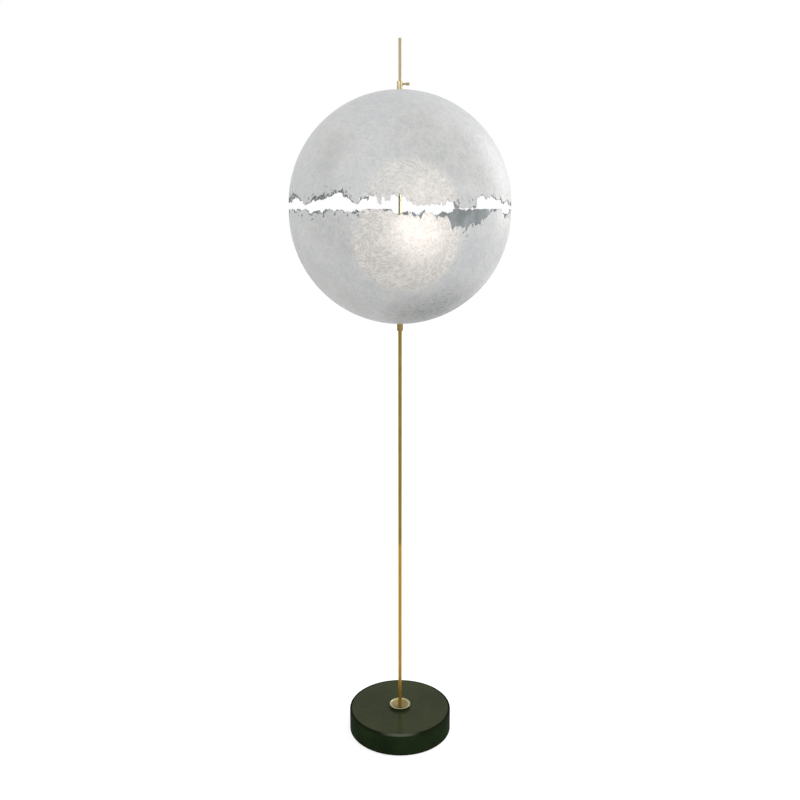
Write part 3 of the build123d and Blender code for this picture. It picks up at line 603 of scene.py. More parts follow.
@dataclass(frozen=True)
class DishBrass(Finish):
    """Turned brass, lighter at the lip and painted darker in its floor as shade in the dish."""

    name: str = "dish_brass"
    lip: Colour = shade(170, 164, 126)
    # The floor's darker colour is painted shade in the dish.
    floor: Colour = shade(128, 118, 82)
    metallic: float = 0.9
    floor_radius: float = 0.0225
    lip_width: float = 0.005
    wander: Wander = Wander(scale=70.0, detail=2.0, reach=0.006)
    pitch: float = 900.0
    line_share: float = 0.2
    roughness: Pair = (0.42, 0.3)
    bump: Pair = (0.12, 0.0004)

    def paint(self, s: Surface) -> None:
        """Floor and lip, the floor painted darker as shade, with a border that strays a little.

        Args:
            s: The surface.
        """
        lines = s.lined(self.pitch, Working.TURNED)
        out = s.plus(s.from_axis(s.place), self.wander.stray(s))
        lip = s.span(out, self.floor_radius, self.floor_radius + self.lip_width, 0.0, 1.0)
        colour = s.blend(lip, self.floor, self.lip)
        colour = s.blend(s.times(lines["Mask"], self.line_share), colour, self.floor)
        rough = s.span(lip, 0.0, 1.0, *self.roughness)
        s.give(Metallic=self.metallic, Base_Color=colour, Roughness=rough)
        s.give_bump(lines["Height"], self.bump)


@dataclass(frozen=True)
class OpalGlass(Finish):
    """The bulb's white glass, lit from inside."""

    name: str = "opal_glass"
    tint: Colour = (0.8, 0.74, 0.65)
    haze: Colour = (0.76, 0.69, 0.59)
    clouds: Pair = (40.0, 500.0)
    roughness: float = 0.22
    coat: float = 0.5
    glow: float = 0.6

    def paint(self, s: Surface) -> None:
        """A faint haze that glows in its own colour.

        Args:
            s: The surface.
        """
        haze = s.mottled(*self.clouds, self.tint, self.haze)["Color"]
        s.give(Base_Color=haze, Emission_Color=haze, Emission_Strength=self.glow)
        s.give(Roughness=self.roughness, Coat_Weight=self.coat)


@dataclass(frozen=True)
class Curls:
    """One layer of curled threads."""

    scale: float
    width: float
    seed: float
    strength: float = 1.0


@dataclass(frozen=True)
class Lobe:
    """A disc of lit threads on the globe, which curl round its middle.

    Its light is base all over, threads more on each thread, and rim more on those near its edge.
    Cover is how much it hides the plain skin's colours.
    """

    middle: Point
    radius: float
    edge: float
    base: float
    threads: float
    rim: float
    seed: float
    cover: float = 1.0


@dataclass(frozen=True)
class Glow:
    """A soft patch of light that comes through the wall."""

    middle: Point
    radius: float
    level: float
    flatness: float = 1.0


@dataclass(frozen=True)
class Fibreglass(Finish):
    """Pale grey resin with curled glass threads, glowing in front of the bulb."""

    lobes: tuple[Lobe, ...]
    glows: tuple[Glow, ...]
    wall_middle: float = 0.2985
    cool: Colour = shade(200, 202, 204)
    warm: Colour = shade(211, 211, 208)
    clouds: Pair = (5.0, 40.0)
    wear_and_highlight: Colour = shade(186, 188, 187)
    thread: Colour = shade(228, 228, 226)
    # Painted shade towards the lower pole, darkest on one side of it.
    pole_shade: Colour = shade(124, 128, 125)
    lit_skin: Colour = shade(190, 188, 184)
    # Painted shade where the dim inside shows through gaps and small holes along the torn rim.
    hole_shade: Colour = shade(104, 107, 105)
    inner: Colour = shade(190, 196, 201)
    inner_dark: Colour = shade(150, 156, 160)
    light: Colour = (1.0, 0.9, 0.82)
    roughness: float = 0.42
    mirroring: float = 0.3
    mat: tuple[Curls, ...] = (
        Curls(26.0, 0.06, 1.0), Curls(46.0, 0.06, 5.0), Curls(90.0, 0.08, 9.0, 0.7)
    )
    thread_share: float = 0.3
    worn_patches: Patches = Patches(scale=3.9, detail=3.0, low=0.4, high=0.62, full=0.8)
    grain: Patches = Patches(scale=150.0, detail=3.0, low=0.47, high=0.7, full=0.4)
    grain_height: float = 0.6
    inner_shade: Patches = Patches(
        scale=24.0, detail=5.0, low=0.38, high=0.62, full=0.75, none=0.15, rough=0.65
    )
    # Where the painted shade towards the lower pole lies, how far its border strays, and how dark.
    pole_shade_middle: Point = (0.09, -0.11, -0.265)
    pole_shade_wander: Wander = Wander(scale=9.0, detail=3.0, reach=0.06)
    pole_shade_reach: Pair = (0.02, 0.18)
    pole_shade_share: float = 0.85
    # Where the painted shade of gaps and small holes lies along the torn rim.
    hole_shade_depth: Patches = Patches(
        scale=38.0, detail=3.0, low=0.5, high=0.68, full=0.0078, none=-0.001, rough=0.65
    )
    hole_shade_edge: Pair = (-0.0005, 0.0008)
    hole_shade_share: float = 0.9
    hole_shade_spots: Patches = Patches(scale=104.0, detail=0.0, low=0.69, high=0.74, full=0.8)
    hole_shade_reach: Pair = (0.012, 0.028)
    lobe_wander: Wander = Wander(scale=21.0, detail=2.0, reach=0.036)
    rings: tuple[Curls, ...] = (Curls(4.8, 0.032, 0.0), Curls(6.2, 0.034, 3.0, 0.8))
    curls: tuple[Curls, ...] = (Curls(54.0, 0.05, 7.0, 0.7),)
    ring_pitch: float = 26.0
    ring_turn: float = 1.5
    lobe_rim: float = 0.8
    lobe_cover: float = 0.85
    glow_core: float = 0.12
    glow_threads: Pair = (0.86, 1.2)
    bump: Pair = (0.25, 0.0012)

    def curled(self, s: Surface, place: Feed, layers: tuple[Curls, ...], seed: float) -> Socket:
        """The strongest of some layers of curled threads.

        Args:
            s: The surface.
            place: The coordinates that the threads lie in.
            layers: The layers.
            seed: What is added to each layer's own seed.

        Returns:
            The strength of the threads.
        """
        masks = []
        for one in layers:
            sockets = {"Scale": one.scale, "Width": one.width, "Seed": seed + one.seed}
            threads = s.group(s.effects.threads, Vector=place, **sockets)
            masks.append(s.times(threads["Mask"], one.strength))
        return reduce(s.most, masks)

    def lobe(self, s: Surface, lobe: Lobe) -> tuple[Socket, Socket]:
        """The light of one lobe.

        Args:
            s: The surface.
            lobe: The lobe.

        Returns:
            The light, and 1 inside the lobe.
        """
        offset = s.vector("SUBTRACT", s.place, lobe.middle)
        away = s.plus(s.vector("LENGTH", offset), self.lobe_wander.stray(s))
        along = s.vector("MULTIPLY", s.vector("NORMALIZE", offset), (self.ring_turn,) * 3)
        across = s.node("CombineXYZ", {"X": s.times(away, self.ring_pitch)}).outputs[0]
        rings = self.curled(s, s.vector("ADD", along, across), self.rings, lobe.seed)
        lines = s.most(rings, self.curled(s, s.place, self.curls, lobe.seed))
        inside = s.span(away, lobe.radius - lobe.edge, lobe.radius + lobe.edge, 1.0, 0.0)
        rim = s.span(away, self.lobe_rim * lobe.radius, lobe.radius, 0.0, lobe.rim)
        level = s.plus(s.times(lines, s.plus(rim, lobe.threads)), lobe.base)
        return s.times(level, inside), inside

    def glow(self, s: Surface, glow: Glow) -> Socket:
        """The light of one soft patch.

        Args:
            s: The surface.
            glow: The patch.

        Returns:
            The light.
        """
        offset = s.vector("SUBTRACT", s.place, glow.middle)
        away = s.vector("LENGTH", s.vector("MULTIPLY", offset, (1.0, 1.0, glow.flatness)))
        return s.span(away, self.glow_core * glow.radius, glow.radius, glow.level, 0.0)

    def torn_line_shade(self, s: Surface) -> Socket:
        """Painted shade along the torn line, where the dim inside shows through gaps, and small
        painted holes a little further in.

        Args:
            s: The surface.

        Returns:
            How dark each point is.
        """
        distance = s.node("Attribute", attribute_name=RIM_DISTANCE).outputs["Fac"]
        past = s.minus(distance, self.hole_shade_depth.share(s))
        gap_shade = s.span(past, *self.hole_shade_edge, self.hole_shade_share, 0.0)
        near = s.span(distance, *self.hole_shade_reach, 1.0, 0.0)
        return s.most(gap_shade, s.times(self.hole_shade_spots.share(s), near))

    def pole_shade_mask(self, s: Surface) -> Socket:
        """How much painted shade lies towards the pole, most on one side of it."""
        away = s.plus(s.vector("DISTANCE", s.place, self.pole_shade_middle), self.pole_shade_wander.stray(s))
        return s.span(away, *self.pole_shade_reach, self.pole_shade_share, 0.0)

    def skin(self, s: Surface, strands: Feed, grain: Feed) -> Socket:
        """The outside's colour: clouds, patches of wear, painted shade towards the pole, pale
        threads, grain, and painted shade along the torn rim.

        Args:
            s: The surface.
            strands: How much the threads show.
            grain: The value of the fine noise.

        Returns:
            The colour.
        """
        skin = s.mottled(*self.clouds, self.warm, self.cool)["Color"]
        skin = s.blend(self.worn_patches.share(s), skin, self.wear_and_highlight)
        # Painted shade towards the lower pole.
        skin = s.blend(self.pole_shade_mask(s), skin, self.pole_shade)
        skin = s.blend(strands, skin, self.thread)
        skin = s.blend(self.grain.share(s, grain), skin, self.wear_and_highlight)
        # Painted shade of gaps and small holes along the torn rim.
        return s.blend(self.torn_line_shade(s), skin, self.hole_shade)

    def paint(self, s: Surface) -> None:
        """The lit outside and the shaded inside.

        Args:
            s: The surface.
        """
        outside = s.math("GREATER_THAN", s.vector("LENGTH", s.place), self.wall_middle)
        threads = self.curled(s, s.place, self.mat, 0.0)
        strands = s.times(threads, self.thread_share)
        grain = self.grain.noise(s)
        # Light that comes through the wall, strongest where the bulb is near
        level = reduce(s.plus, [self.glow(s, glow) for glow in self.glows])
        level = s.times(level, s.span(threads, 0.0, 1.0, *self.glow_threads))
        lobes = [(*self.lobe(s, lobe), lobe.cover) for lobe in self.lobes]
        level = reduce(s.plus, [light for light, _, _ in lobes], level)
        covered = reduce(s.most, [s.times(inside, cover) for _, inside, cover in lobes])
        skin = self.skin(s, strands, grain)
        skin = s.blend(s.times(covered, self.lobe_cover), skin, self.lit_skin)
        inner = s.blend(strands, self.inner, self.thread)
        inner = s.blend(self.inner_shade.share(s), inner, self.inner_dark)
        sockets = {0: self.light, "Scale": s.times(level, outside)}
        lit = s.node("VectorMath", sockets, operation="SCALE").outputs["Vector"]
        s.give(Base_Color=s.blend(outside, inner, skin), Roughness=self.roughness)
        s.give(Specular_IOR_Level=self.mirroring, Emission_Color=lit, Emission_Strength=1.0)
        s.give_bump(s.plus(threads, s.times(grain, self.grain_height)), self.bump)


# --- Modelling helpers ---


def clear_selection() -> None:
    """Leaves edit mode and selects nothing, so that an operator meets only its own piece."""
    if bpy.context.object and bpy.context.object.mode != "OBJECT":
        bpy.ops.object.mode_set(mode="OBJECT")
    bpy.ops.object.select_all(action="DESELECT")


def add_piece(name: str, points: list, edges: list, faces: list) -> Piece:
    """Adds a piece from its points, as the only one selected.

    Args:
        name: The piece's name.
        points: Its points.
        edges: Its edges that no face has.
        faces: Its faces.

    Returns:
        The piece.
    """
    mesh = bpy.data.meshes.new(name)
    mesh.from_pydata(points, edges, faces)
    piece = bpy.data.objects.new(name, mesh)
    bpy.context.scene.collection.objects.link(piece)
    clear_selection()
    bpy.context.view_layer.objects.active = piece
    piece.select_set(True)
    return piece


def turn_outwards(merge: float = 0.0) -> None:
    """Points the active piece's faces outwards.

    Args:
        merge: How near points are that are first made one, or 0 for none.
    """
    bpy.ops.object.mode_set(mode="EDIT")
    bpy.ops.mesh.select_all(action="SELECT")
    if merge:
        bpy.ops.mesh.remove_doubles(threshold=merge)
    bpy.ops.mesh.normals_make_consistent(inside=False)
    bpy.ops.object.mode_set(mode="OBJECT")


def lathe(name: str, outline: list[Pair], steps: int) -> Piece:
    """Spins a closed outline round the Z axis.

    Args:
        name: The piece's name.
        outline: Radius and height of each corner.
        steps: How many faces go round.

    Returns:
        The closed piece, with its faces outwards.
    """
    edges = [(i, (i + 1) % len(outline)) for i in range(len(outline))]
    piece = add_piece(name, [(r, 0.0, z) for r, z in outline], edges, [])
    turn = piece.modifiers.new("turn", "SCREW")
    turn.axis, turn.angle = "Z", math.tau
    turn.steps = turn.render_steps = steps
    bpy.ops.object.modifier_apply(modifier=turn.name)
    turn_outwards(merge=1e-6)
    return piece


def tube_faces(first: int, rings: int, sides: int) -> list[tuple[int, ...]]:
    """The faces of a thin closed tube.

    Args:
        first: The number of its first point.
        rings: How many rings of points it has.
        sides: How many points a ring has.

    Returns:
        Its sides and its two ends.
    """
    last = first + (rings - 1) * sides
    faces: list[tuple[int, ...]] = []
    for start in range(first, last, sides):
        for side in range(sides):
            a, b = start + side, start + (side + 1) % sides
            faces.append((a, b, b + sides, a + sides))
    ends = range(first + sides - 1, first - 1, -1), range(last, last + sides)
    return [*faces, *(tuple(end) for end in ends)]


def dress(piece: Piece, material: Material, body: str) -> None:
    """Gives a new piece its material and the body that it rides on.

    Args:
        piece: The piece.
        material: Its material.
        body: The body's name.
    """
    piece.data.materials.clear()
    piece.data.materials.append(material)
    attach(piece, body)


# --- Globe ---


class Half(Enum):
    """Which half of the globe a bowl is: 1 where the wall lies above the torn rim."""

    LOWER = -1
    UPPER = 1


@dataclass(frozen=True)
class Teeth:
    """A row of uneven teeth: their width, the share of the tooth depth, how rare deep ones are."""

    width: float
    depth: float
    rarity: float


@dataclass(frozen=True)
class Strands:
    """The loose glass threads of a rim. A pair gives the least and the most.

    The lean is in radians from straight out of the rim, and the curl in radians per metre.
    """

    count: int = 420
    sides: int = 3
    joints: int = 5
    length: Pair = (0.004, 0.011)
    curl: Pair = (-70.0, 70.0)
    wall_share: Pair = (0.4, 0.6)
    thickness: Pair = (0.0004, 0.001)
    lean: float = 1.25
    taper: float = 0.8
    root: float = 0.004
    clearance: float = 0.0006


@dataclass
class TornBowl:
    """A fibreglass half bowl with a flat-floored pole and a torn, fringed rim.

    Depths are measured from the level of its rim into the bowl. Raised is a part of the rim, from
    and to an azimuth, that stands higher by a length.
    """

    node: str
    body: str
    half: Half
    finish: Fibreglass
    raised: tuple[float, float, float] = (0.0, 0.0, 0.0)
    seed: int = 7
    radius: float = GLOBE_RADIUS
    wall: float = 0.003
    hub: float = 0.007
    hole: float = 0.0066
    floor_ring: float = 0.5
    columns: int = 1440
    outer_rows: int = 34
    inner_rows: int = 26
    torn_zone: float = 0.066
    torn_margin: float = 0.002
    highest: float = -0.0005
    probe_step: float = 0.0005
    probe_start: float = 0.01
    tooth_depth: float = 0.009
    rows: tuple[Teeth, ...] = (Teeth(4.1, 0.6, 1.2), Teeth(1.7, 1.0, 1.6), Teeth(0.7, 0.55, 1.7))
    splits: int = 90
    split_columns: Pair = (1.6, 3.6)
    split_depth: Pair = (0.8, 1.9)
    settle: float = 0.85
    raise_ramp: float = 4.0
    sharp_angle: float = 35.0
    strands: Strands = Strands()

    def __post_init__(self) -> None:
        """Reads the bowl's place from the frame."""
        low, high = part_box(self.node)
        self.way = self.half.value
        self.rim = low.z if self.half is Half.UPPER else high.z
        pole = high.z if self.half is Half.UPPER else low.z
        self.centre = pole - self.way * math.sqrt(self.radius**2 - self.hole**2)
        self.draws = random.Random(self.seed)

    def outline(self) -> list[Pair]:
        """The wall's section, from the hole's outer edge round the rim to its inner edge.

        Returns:
            The radius and height of each corner.
        """
        inner, floor = self.radius - self.wall, self.radius - self.hub
        past = -self.way * (self.rim - self.centre)
        floor_angle = math.acos(floor / inner)
        corners = []
        for shell, start, end, rows in (
            (self.radius, math.asin(self.hole / self.radius), self.rim_angle(past, self.radius),
             self.outer_rows),
            (inner, self.rim_angle(past, inner), floor_angle, self.inner_rows),
        ):
            for row in range(rows + 1):
                angle = start + (end - start) * row / rows
                height = self.centre + self.way * shell * math.cos(angle)
                corners.append((shell * math.sin(angle), height))
        level = self.centre + self.way * floor
        ring = self.floor_ring * inner * math.sin(floor_angle)
        return [*corners, (ring, level), (self.hole, level)]

    @staticmethod
    def rim_angle(past: float, shell: float) -> float:
        """The angle from the pole to the rim, in radians, which lies past the middle."""
        return math.pi / 2 + math.asin(past / shell)

    def rim_heights(self, packed: Piece) -> np.ndarray:
        """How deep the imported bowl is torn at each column.

        Args:
            packed: The frame's bowl.

        Returns:
            The depths.
        """
        shell = BVHTree.FromObject(packed, bpy.context.evaluated_depsgraph_get())
        reach = self.torn_zone - 2.0 * self.torn_margin
        depths = np.zeros(self.columns)
        for column in range(self.columns):
            azimuth = math.tau * column / self.columns
            outwards = Vector((math.cos(azimuth), math.sin(azimuth), 0.0))
            depth = self.probe_step / 2
            while depth < reach:
                level = Vector((0, 0, self.rim + self.way * depth))
                start = outwards * (self.radius + self.probe_start) + level
                if shell.ray_cast(start, -outwards, 2.0 * self.probe_start)[0] is not None:
                    break
                depth += self.probe_step
            depths[column] = depth
        return depths

    def ridge(self, row: Teeth) -> np.ndarray:
        """One row of uneven teeth.

        Args:
            row: The row.

        Returns:
            The extra depth at each column.
        """
        count = round(360.0 / row.width)
        deep = np.array([self.draws.random() ** row.rarity for _ in range(count)])
        deep = deep * (row.depth * self.tooth_depth)
        turns = np.arange(self.columns) * count / self.columns
        return np.interp(turns, np.arange(count + 1), np.append(deep, deep[0]))

    def teeth(self) -> np.ndarray:
        """Rows of ragged teeth and some narrow splits.

        Returns:
            The change of depth at each column.
        """
        rough = sum(self.ridge(row) for row in self.rows)
        columns = np.arange(self.columns)
        for _ in range(self.splits):
            middle = self.draws.uniform(0, self.columns)
            half = self.draws.uniform(*self.split_columns)
            depth = self.draws.uniform(*self.split_depth) * self.tooth_depth
            apart = (columns - middle + self.columns / 2) % self.columns - self.columns / 2
            rough = np.maximum(rough, depth * np.clip(1.0 - np.abs(apart) / half, 0.0, 1.0))
        first, last, lift = self.raised
        degrees = columns * 360.0 / self.columns
        inside = np.minimum(degrees - first, last - degrees) / self.raise_ramp
        return rough - self.settle * rough.mean() - lift * np.clip(inside, 0.0, 1.0)

    def tear(self, piece: Piece, packed: Piece) -> np.ndarray:
        """Pushes the wall's rim back to the torn line, along the globe's surface.

        Args:
            piece: The whole bowl.
            packed: The frame's bowl.

        Returns:
            The torn depth at each column.
        """
        deepest = self.torn_zone - self.torn_margin
        depths = np.clip(self.rim_heights(packed) + self.teeth(), self.highest, deepest)
        mesh = piece.data
        places = np.empty(len(mesh.vertices) * 3)
        mesh.vertices.foreach_get("co", places)
        places = places.reshape(-1, 3)
        x, y, z = places.T
        across = np.hypot(x, y)
        column = np.rint(np.arctan2(y, x) / math.tau * self.columns).astype(int) % self.columns
        deep = (z - self.rim) * self.way
        torn = deep < self.torn_zone
        share = (self.torn_zone - deep[torn]) / self.torn_zone
        height = self.rim + self.way * (deep[torn] + depths[column[torn]] * share)
        shell = np.hypot(across[torn], z[torn] - self.centre)
        reach = np.sqrt(shell**2 - (height - self.centre) ** 2)
        places[torn, 0] = x[torn] / across[torn] * reach
        places[torn, 1] = y[torn] / across[torn] * reach
        places[torn, 2] = height
        mesh.vertices.foreach_set("co", places.ravel())
        distance = (places[:, 2] - self.rim) * self.way - depths[column]
        values = mesh.attributes.new(RIM_DISTANCE, "FLOAT", "POINT").data
        values.foreach_set("value", distance.astype(np.float32))
        mesh.update()
        return depths

    def strand(self, depths: np.ndarray) -> list[Vector]:
        """One loose thread, from inside the wall out of the torn line, up to the rim's level.

        Args:
            depths: The torn depth at each column.

        Returns:
            Its points, ring by ring.
        """
        kind, draw = self.strands, self.draws.uniform
        column = self.draws.randrange(self.columns)
        depth = depths[column]
        swing = draw(-1.0, 1.0) * kind.lean
        length = draw(*kind.length)
        curl = draw(*kind.curl)
        shell = self.radius - self.wall * draw(*kind.wall_share)
        thickness = draw(*kind.thickness)
        room = max(0.0, depth - kind.clearance)
        up, along = -kind.root, 0.0
        points = []
        for joint in range(kind.joints):
            share = joint / (kind.joints - 1)
            bend = swing + curl * share * length
            height = self.rim + self.way * (depth - min(up, room))
            reach = math.sqrt(shell**2 - (height - self.centre) ** 2)
            a = math.tau * column / self.columns + along / self.radius
            middle = Vector((math.cos(a) * reach, math.sin(a) * reach, height))
            outwards = Vector((math.cos(a), math.sin(a), 0.0))
            sideways = Vector((-outwards.y, outwards.x, 0.0))
            width = thickness * (1.0 - kind.taper * share)
            for side in range(kind.sides):
                turn = math.tau * side / kind.sides
                offset = outwards * math.cos(turn) + sideways * math.sin(turn)
                points.append(middle + offset * width)
            up += length / kind.joints * math.cos(bend)
            along += length / kind.joints * math.sin(bend)
        return points

    def fringe(self, depths: np.ndarray) -> Piece:
        """Loose glass threads that stand out of the torn rim, inside the wall's thickness.

        Args:
            depths: The torn depth at each column.

        Returns:
            The threads as one piece.
        """
        points: list[Vector] = []
        faces: list[tuple[int, ...]] = []
        for _ in range(self.strands.count):
            faces += tube_faces(len(points), self.strands.joints, self.strands.sides)
            points += self.strand(depths)
        piece = add_piece(self.node + "_fringe", points, [], faces)
        turn_outwards()
        bpy.ops.object.shade_smooth()
        return piece

    def build(self, effects: Effects, packed: Piece) -> None:
        """Models the bowl and its fringe and dresses both.

        Args:
            effects: The shared effects.
            packed: The frame's bowl.
        """
        bowl = lathe(self.node + "_torn", self.outline(), self.columns)
        depths = self.tear(bowl, packed)
        bpy.ops.object.shade_smooth_by_angle(angle=math.radians(self.sharp_angle))
        fringe = self.fringe(depths)
        material = self.finish.material(effects)
        for piece in (bowl, fringe):
            dress(piece, material, self.body)
            LOG.info("%s: %d faces", piece.name, len(piece.data.polygons))
        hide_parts(self.node)


# --- Pieces that stay as the frame has them ---


@dataclass
class Fittings:
    """Every frame node that keeps its shape, with its finish."""

    holder_axis: Point = (0.043, -0.095, 0.0)

    def by_slot(self) -> dict[str, Finish]:
        """A finish for each material slot of the record. Most are named as their slot.

        Returns:
            The finishes by slot.
        """
        named = (
            Metal("zinc_steel", (0.62, 0.63, 0.64), (0.5, 0.5, 0.51), 0.38, Working.TURNED),
            Metal("brass_bright", shade(166, 128, 36), shade(155, 117, 31), 0.34, metallic=0.7),
            Metal("brass_dull", shade(131, 111, 36), shade(121, 101, 29), 0.32),
            Metal("brass_pale", shade(162, 151, 118), shade(154, 142, 109), 0.36, metallic=0.55),
            Metal(
                "bulb_metal", (0.75, 0.75, 0.76), (0.62, 0.62, 0.63), 0.25, Working.TURNED,
                middle=self.holder_axis,
            ),
            Moulded(
                "felt", grey(0.02), grey(0.01), 0.95, cloud_scale=60.0, grain_scale=1500.0,
                bump=(0.4, 0.0006), sheen=0.4,
            ),
            Moulded("rubber", grey(0.025), grey(0.015), 0.7),
            Moulded("flex_sheath", (0.72, 0.7, 0.65), (0.66, 0.64, 0.58), 0.45),
            Moulded("block_nylon", (0.82, 0.8, 0.72), (0.76, 0.73, 0.64), 0.5),
            Moulded("holder_black", grey(0.03), grey(0.02), 0.28, coat=(0.3, 0.1)),
            Moulded("ceramic", (0.88, 0.87, 0.84), (0.82, 0.8, 0.76), 0.2, coat=(0.6, 0.1)),
        )
        return {one.name: one for one in named} | {
            "base_paint": CastEnamel(), "dish_brass": DishBrass(), "bulb_opal": OpalGlass()
        }

    def by_node(self) -> dict[str, Finish]:
        """Finishes of the brass pieces that were turned on a lathe, in place of their slots'.

        Returns:
            The finishes by node.
        """
        deep = Metal(
            "brass_turned", shade(136, 114, 66), shade(124, 102, 56), 0.28, Working.TURNED
        )
        # A lighter copy of the pale brass: a painted highlight on the collar, which the thumb screw
        # shares.
        pale = Metal(
            "brass_pale_turned", shade(180, 168, 134), shade(168, 154, 118), 0.3, Working.TURNED
        )
        return {
            **dict.fromkeys(("lower_sleeve", "lower_washer", "upper_washer"), deep),
            **dict.fromkeys(("upper_collar", "thumb_screw"), pale),
        }

    def build(self, effects: Effects, frame: dict) -> None:
        """Gives every frame node its finish.

        Args:
            effects: The shared effects.
            frame: The loaded frame.
        """
        by_slot, by_node = self.by_slot(), self.by_node()
        kinds = dict.fromkeys((*by_slot.values(), *by_node.values()))
        made = {finish: finish.material(effects) for finish in kinds}
        for entry in frame["record"]["subparts"]:
            node = entry["node"]
            finish = by_node.get(node, by_slot.get(entry["material_slot"]))
            if finish is None:
                continue
            materials = frame["nodes"][node].data.materials
            for index in range(len(materials)):
                materials[index] = made[finish]
            if not materials:
                materials.append(made[finish])
        LOG.info("fittings: %d finishes", len(made))


# --- Studio ---


@dataclass(frozen=True)
class Softbox:
    """A rectangular white lamp that faces a point."""

    name: str
    place: Point
    aim: Point
    size: Pair
    power: float

    def build(self) -> None:
        """Hangs the lamp."""
        light = bpy.data.lights.new(self.name, "AREA")
        light.shape = "RECTANGLE"
        light.size, light.size_y = self.size
        light.energy = self.power
        lamp = bpy.data.objects.new(self.name, light)
        lamp.location = self.place
        way = Vector(self.aim) - Vector(self.place)
        lamp.rotation_euler = way.to_track_quat("-Z", "Y").to_euler()
        bpy.context.scene.collection.objects.link(lamp)


@dataclass(frozen=True)
class Studio:
    """A pale floor, a white surround, soft lamps and the camera."""

    camera_place: Point = (0.0, -2.4179, 1.541)
    camera_tilt: float = 10.27
    lens: float = 39.41
    sensor: float = 36.0
    shift_y: float = -0.04
    furthest: float = 60.0
    floor_radius: float = 40.0
    floor_corners: int = 96
    floor_colour: Colour = grey(0.58)
    floor_lift: float = 0.66
    surround: float = 0.7
    globe: Point = (0.0, 0.0, 1.5)
    stem: Point = (0.0, 0.0, 0.5)
    inner_light: Point = (0.1, -0.07, 1.56)
    inner_power: float = 1.3
    inner_size: float = 0.02
    inner_colour: Colour = (1.0, 0.96, 0.91)

    def camera(self) -> None:
        """Sets up the camera at the photograph's viewing angle."""
        data = bpy.data.cameras.new("camera")
        data.lens, data.sensor_width, data.shift_y = self.lens, self.sensor, self.shift_y
        data.clip_end = self.furthest
        camera = bpy.data.objects.new("camera", data)
        camera.location = self.camera_place
        camera.rotation_euler = (math.radians(90.0 - self.camera_tilt), 0.0, 0.0)
        bpy.context.scene.collection.objects.link(camera)
        bpy.context.scene.camera = camera

    def seen_directly(self, graph: Graph) -> Socket:
        """1 for camera, glossy and transmission rays, else 0.

        Args:
            graph: The graph of the floor or the world.

        Returns:
            The switch.
        """
        rays = graph.node("LightPath").outputs
        both = graph.most(rays["Is Camera Ray"], rays["Is Glossy Ray"])
        return graph.most(both, rays["Is Transmission Ray"])

    def world(self) -> None:
        """White where it is seen or mirrored, and a softer level where it lights."""
        world = bpy.data.worlds.new("surround")
        bpy.context.scene.world = world
        world.use_nodes = True
        graph = Graph(world.node_tree)
        background = world.node_tree.nodes["Background"]
        graph.feed(background.inputs["Color"], WHITE)
        strength = graph.ramp(self.seen_directly(graph), 1.0 - self.surround, self.surround)
        graph.feed(background.inputs["Strength"], strength)

    def floor(self) -> None:
        """A large pale disc whose seen side is lifted to white outside the shadow."""
        clear_selection()
        bpy.ops.mesh.primitive_circle_add(
            vertices=self.floor_corners, radius=self.floor_radius, fill_type="NGON",
            location=(0, 0, 0),
        )
        floor = bpy.context.object
        floor.name = "floor"
        material = bpy.data.materials.new("floor")
        material.use_nodes = True
        tree = material.node_tree
        graph = Graph(tree)
        tree.nodes.remove(tree.nodes["Principled BSDF"])
        paint = graph.node("BsdfDiffuse", {"Color": self.floor_colour})
        strength = graph.times(self.seen_directly(graph), self.floor_lift)
        lift = graph.node("Emission", {"Color": WHITE, "Strength": strength})
        both = graph.node("AddShader", {0: paint.outputs[0], 1: lift.outputs[0]})
        graph.feed(tree.nodes["Material Output"].inputs["Surface"], both.outputs[0])
        floor.data.materials.append(material)

    def lamps(self) -> None:
        """Hangs the soft lamps, and lights the globe's inside as its bulb does."""
        for box in (
            Softbox("key", (-2.2, -3.0, 2.6), self.globe, size=(2.4, 2.4), power=39.0),
            Softbox("side", (2.7, -1.4, 2.0), self.globe, size=(1.2, 2.4), power=24.0),
            Softbox("rim", (2.2, 1.3, 2.3), self.globe, size=(1.3, 2.2), power=35.0),
            Softbox("low", (0.6, -3.2, 0.9), self.stem, size=(2.0, 1.2), power=6.0),
        ):
            box.build()
        light = bpy.data.lights.new("inner_light", "POINT")
        light.energy = self.inner_power
        light.shadow_soft_size = self.inner_size
        light.color = self.inner_colour
        lamp = bpy.data.objects.new("inner_light", light)
        lamp.location = self.inner_light
        lamp.visible_camera = False
        bpy.context.scene.collection.objects.link(lamp)

    def build(self) -> None:
        """Builds all of it."""
        bpy.context.scene.view_settings.view_transform = "Standard"
        self.camera()
        self.world()
        self.floor()
        self.lamps()
        LOG.info("studio is set")


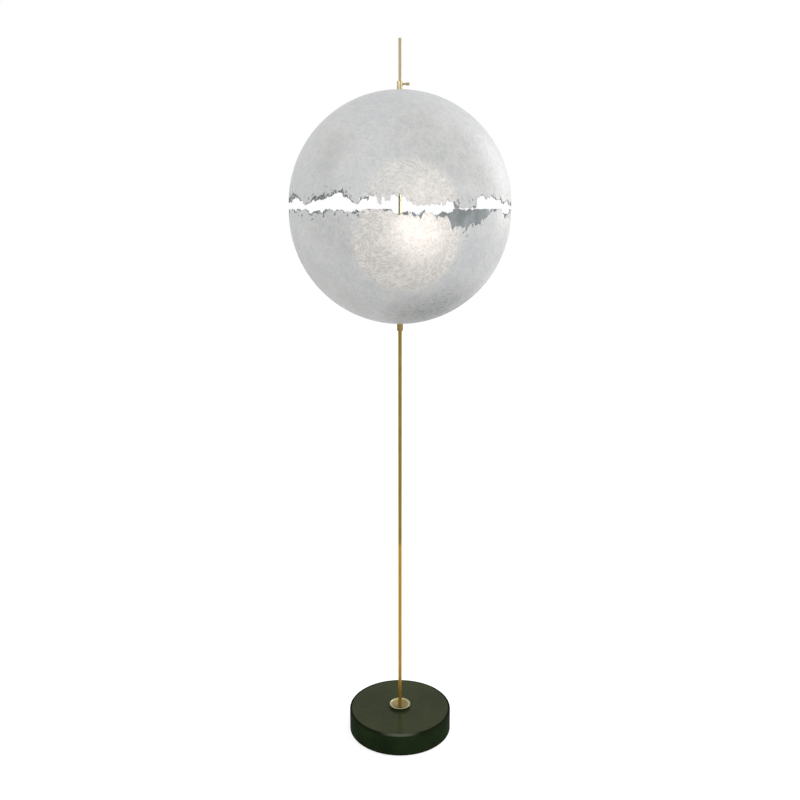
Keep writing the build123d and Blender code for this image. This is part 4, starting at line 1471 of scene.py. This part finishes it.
def lower_finish(centre: float) -> Fibreglass:
    """The lower bowl's fibreglass, with the bright spot and the lobes in front of the bulb.

    Args:
        centre: The height of the middle of the bowl's sphere.

    Returns:
        The finish.
    """
    wide = Lobe(
        on_globe(-86.5, -13.5), radius=0.13, edge=0.011, base=0.05, threads=0.22, rim=0.07, seed=2.0
    )
    high = Lobe(
        on_globe(-85.0, 2.0), radius=0.118, edge=0.02, base=0.0, threads=0.08, rim=0.03, seed=11.0,
        cover=0.0,
    )
    small = Lobe(
        on_globe(-104.0, -6.0), radius=0.045, edge=0.003, base=-0.03, threads=0.06, rim=0.14,
        seed=21.0, cover=0.0,
    )
    spot = Glow(on_globe(-83.8, -6.5), radius=0.095, level=0.19, flatness=1.1)
    beside = Glow(on_globe(-77.0, -9.0), radius=0.13, level=0.18)
    faint = Glow(on_globe(-84.0, -10.0), radius=0.17, level=0.02)
    lobes, glows = (wide, high, small), (spot, beside, faint)
    return Fibreglass("fibreglass_lower", lobes, glows, middle=(0.0, 0.0, centre))


def upper_finish(centre: float) -> Fibreglass:
    """The upper bowl's fibreglass, with a weaker lobe above the bulb.

    Args:
        centre: The height of the middle of the bowl's sphere.

    Returns:
        The finish.
    """
    lobe = Lobe(
        on_globe(-85.4, -2.0), radius=0.12, edge=0.016, base=0.035, threads=0.17, rim=0.04,
        seed=31.0, cover=0.6,
    )
    beside = Glow(on_globe(-78.0, 2.0), radius=0.11, level=0.11)
    faint = Glow(on_globe(-84.0, -6.0), radius=0.18, level=0.03)
    return Fibreglass("fibreglass_upper", (lobe,), (beside, faint), middle=(0.0, 0.0, centre))


def main() -> None:
    """Builds the lamp round the frame."""
    logging.basicConfig(level=logging.INFO, format="%(name)s: %(message)s")
    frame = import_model()
    nodes = frame["nodes"]
    effects = Effects()
    Studio().build()
    Fittings().build(effects, frame)
    low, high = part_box("lower_bowl")[0].z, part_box("upper_bowl")[1].z
    lower, upper = lower_finish(low + GLOBE_RADIUS), upper_finish(high - GLOBE_RADIUS)
    TornBowl("lower_bowl", "stand", Half.LOWER, lower, raised=(26.0, 58.0, 0.003)).build(
        effects, nodes["lower_bowl"]
    )
    TornBowl("upper_bowl", "upper_shade", Half.UPPER, upper, seed=19).build(
        effects, nodes["upper_bowl"]
    )


if __name__ == "__main__":
    main()
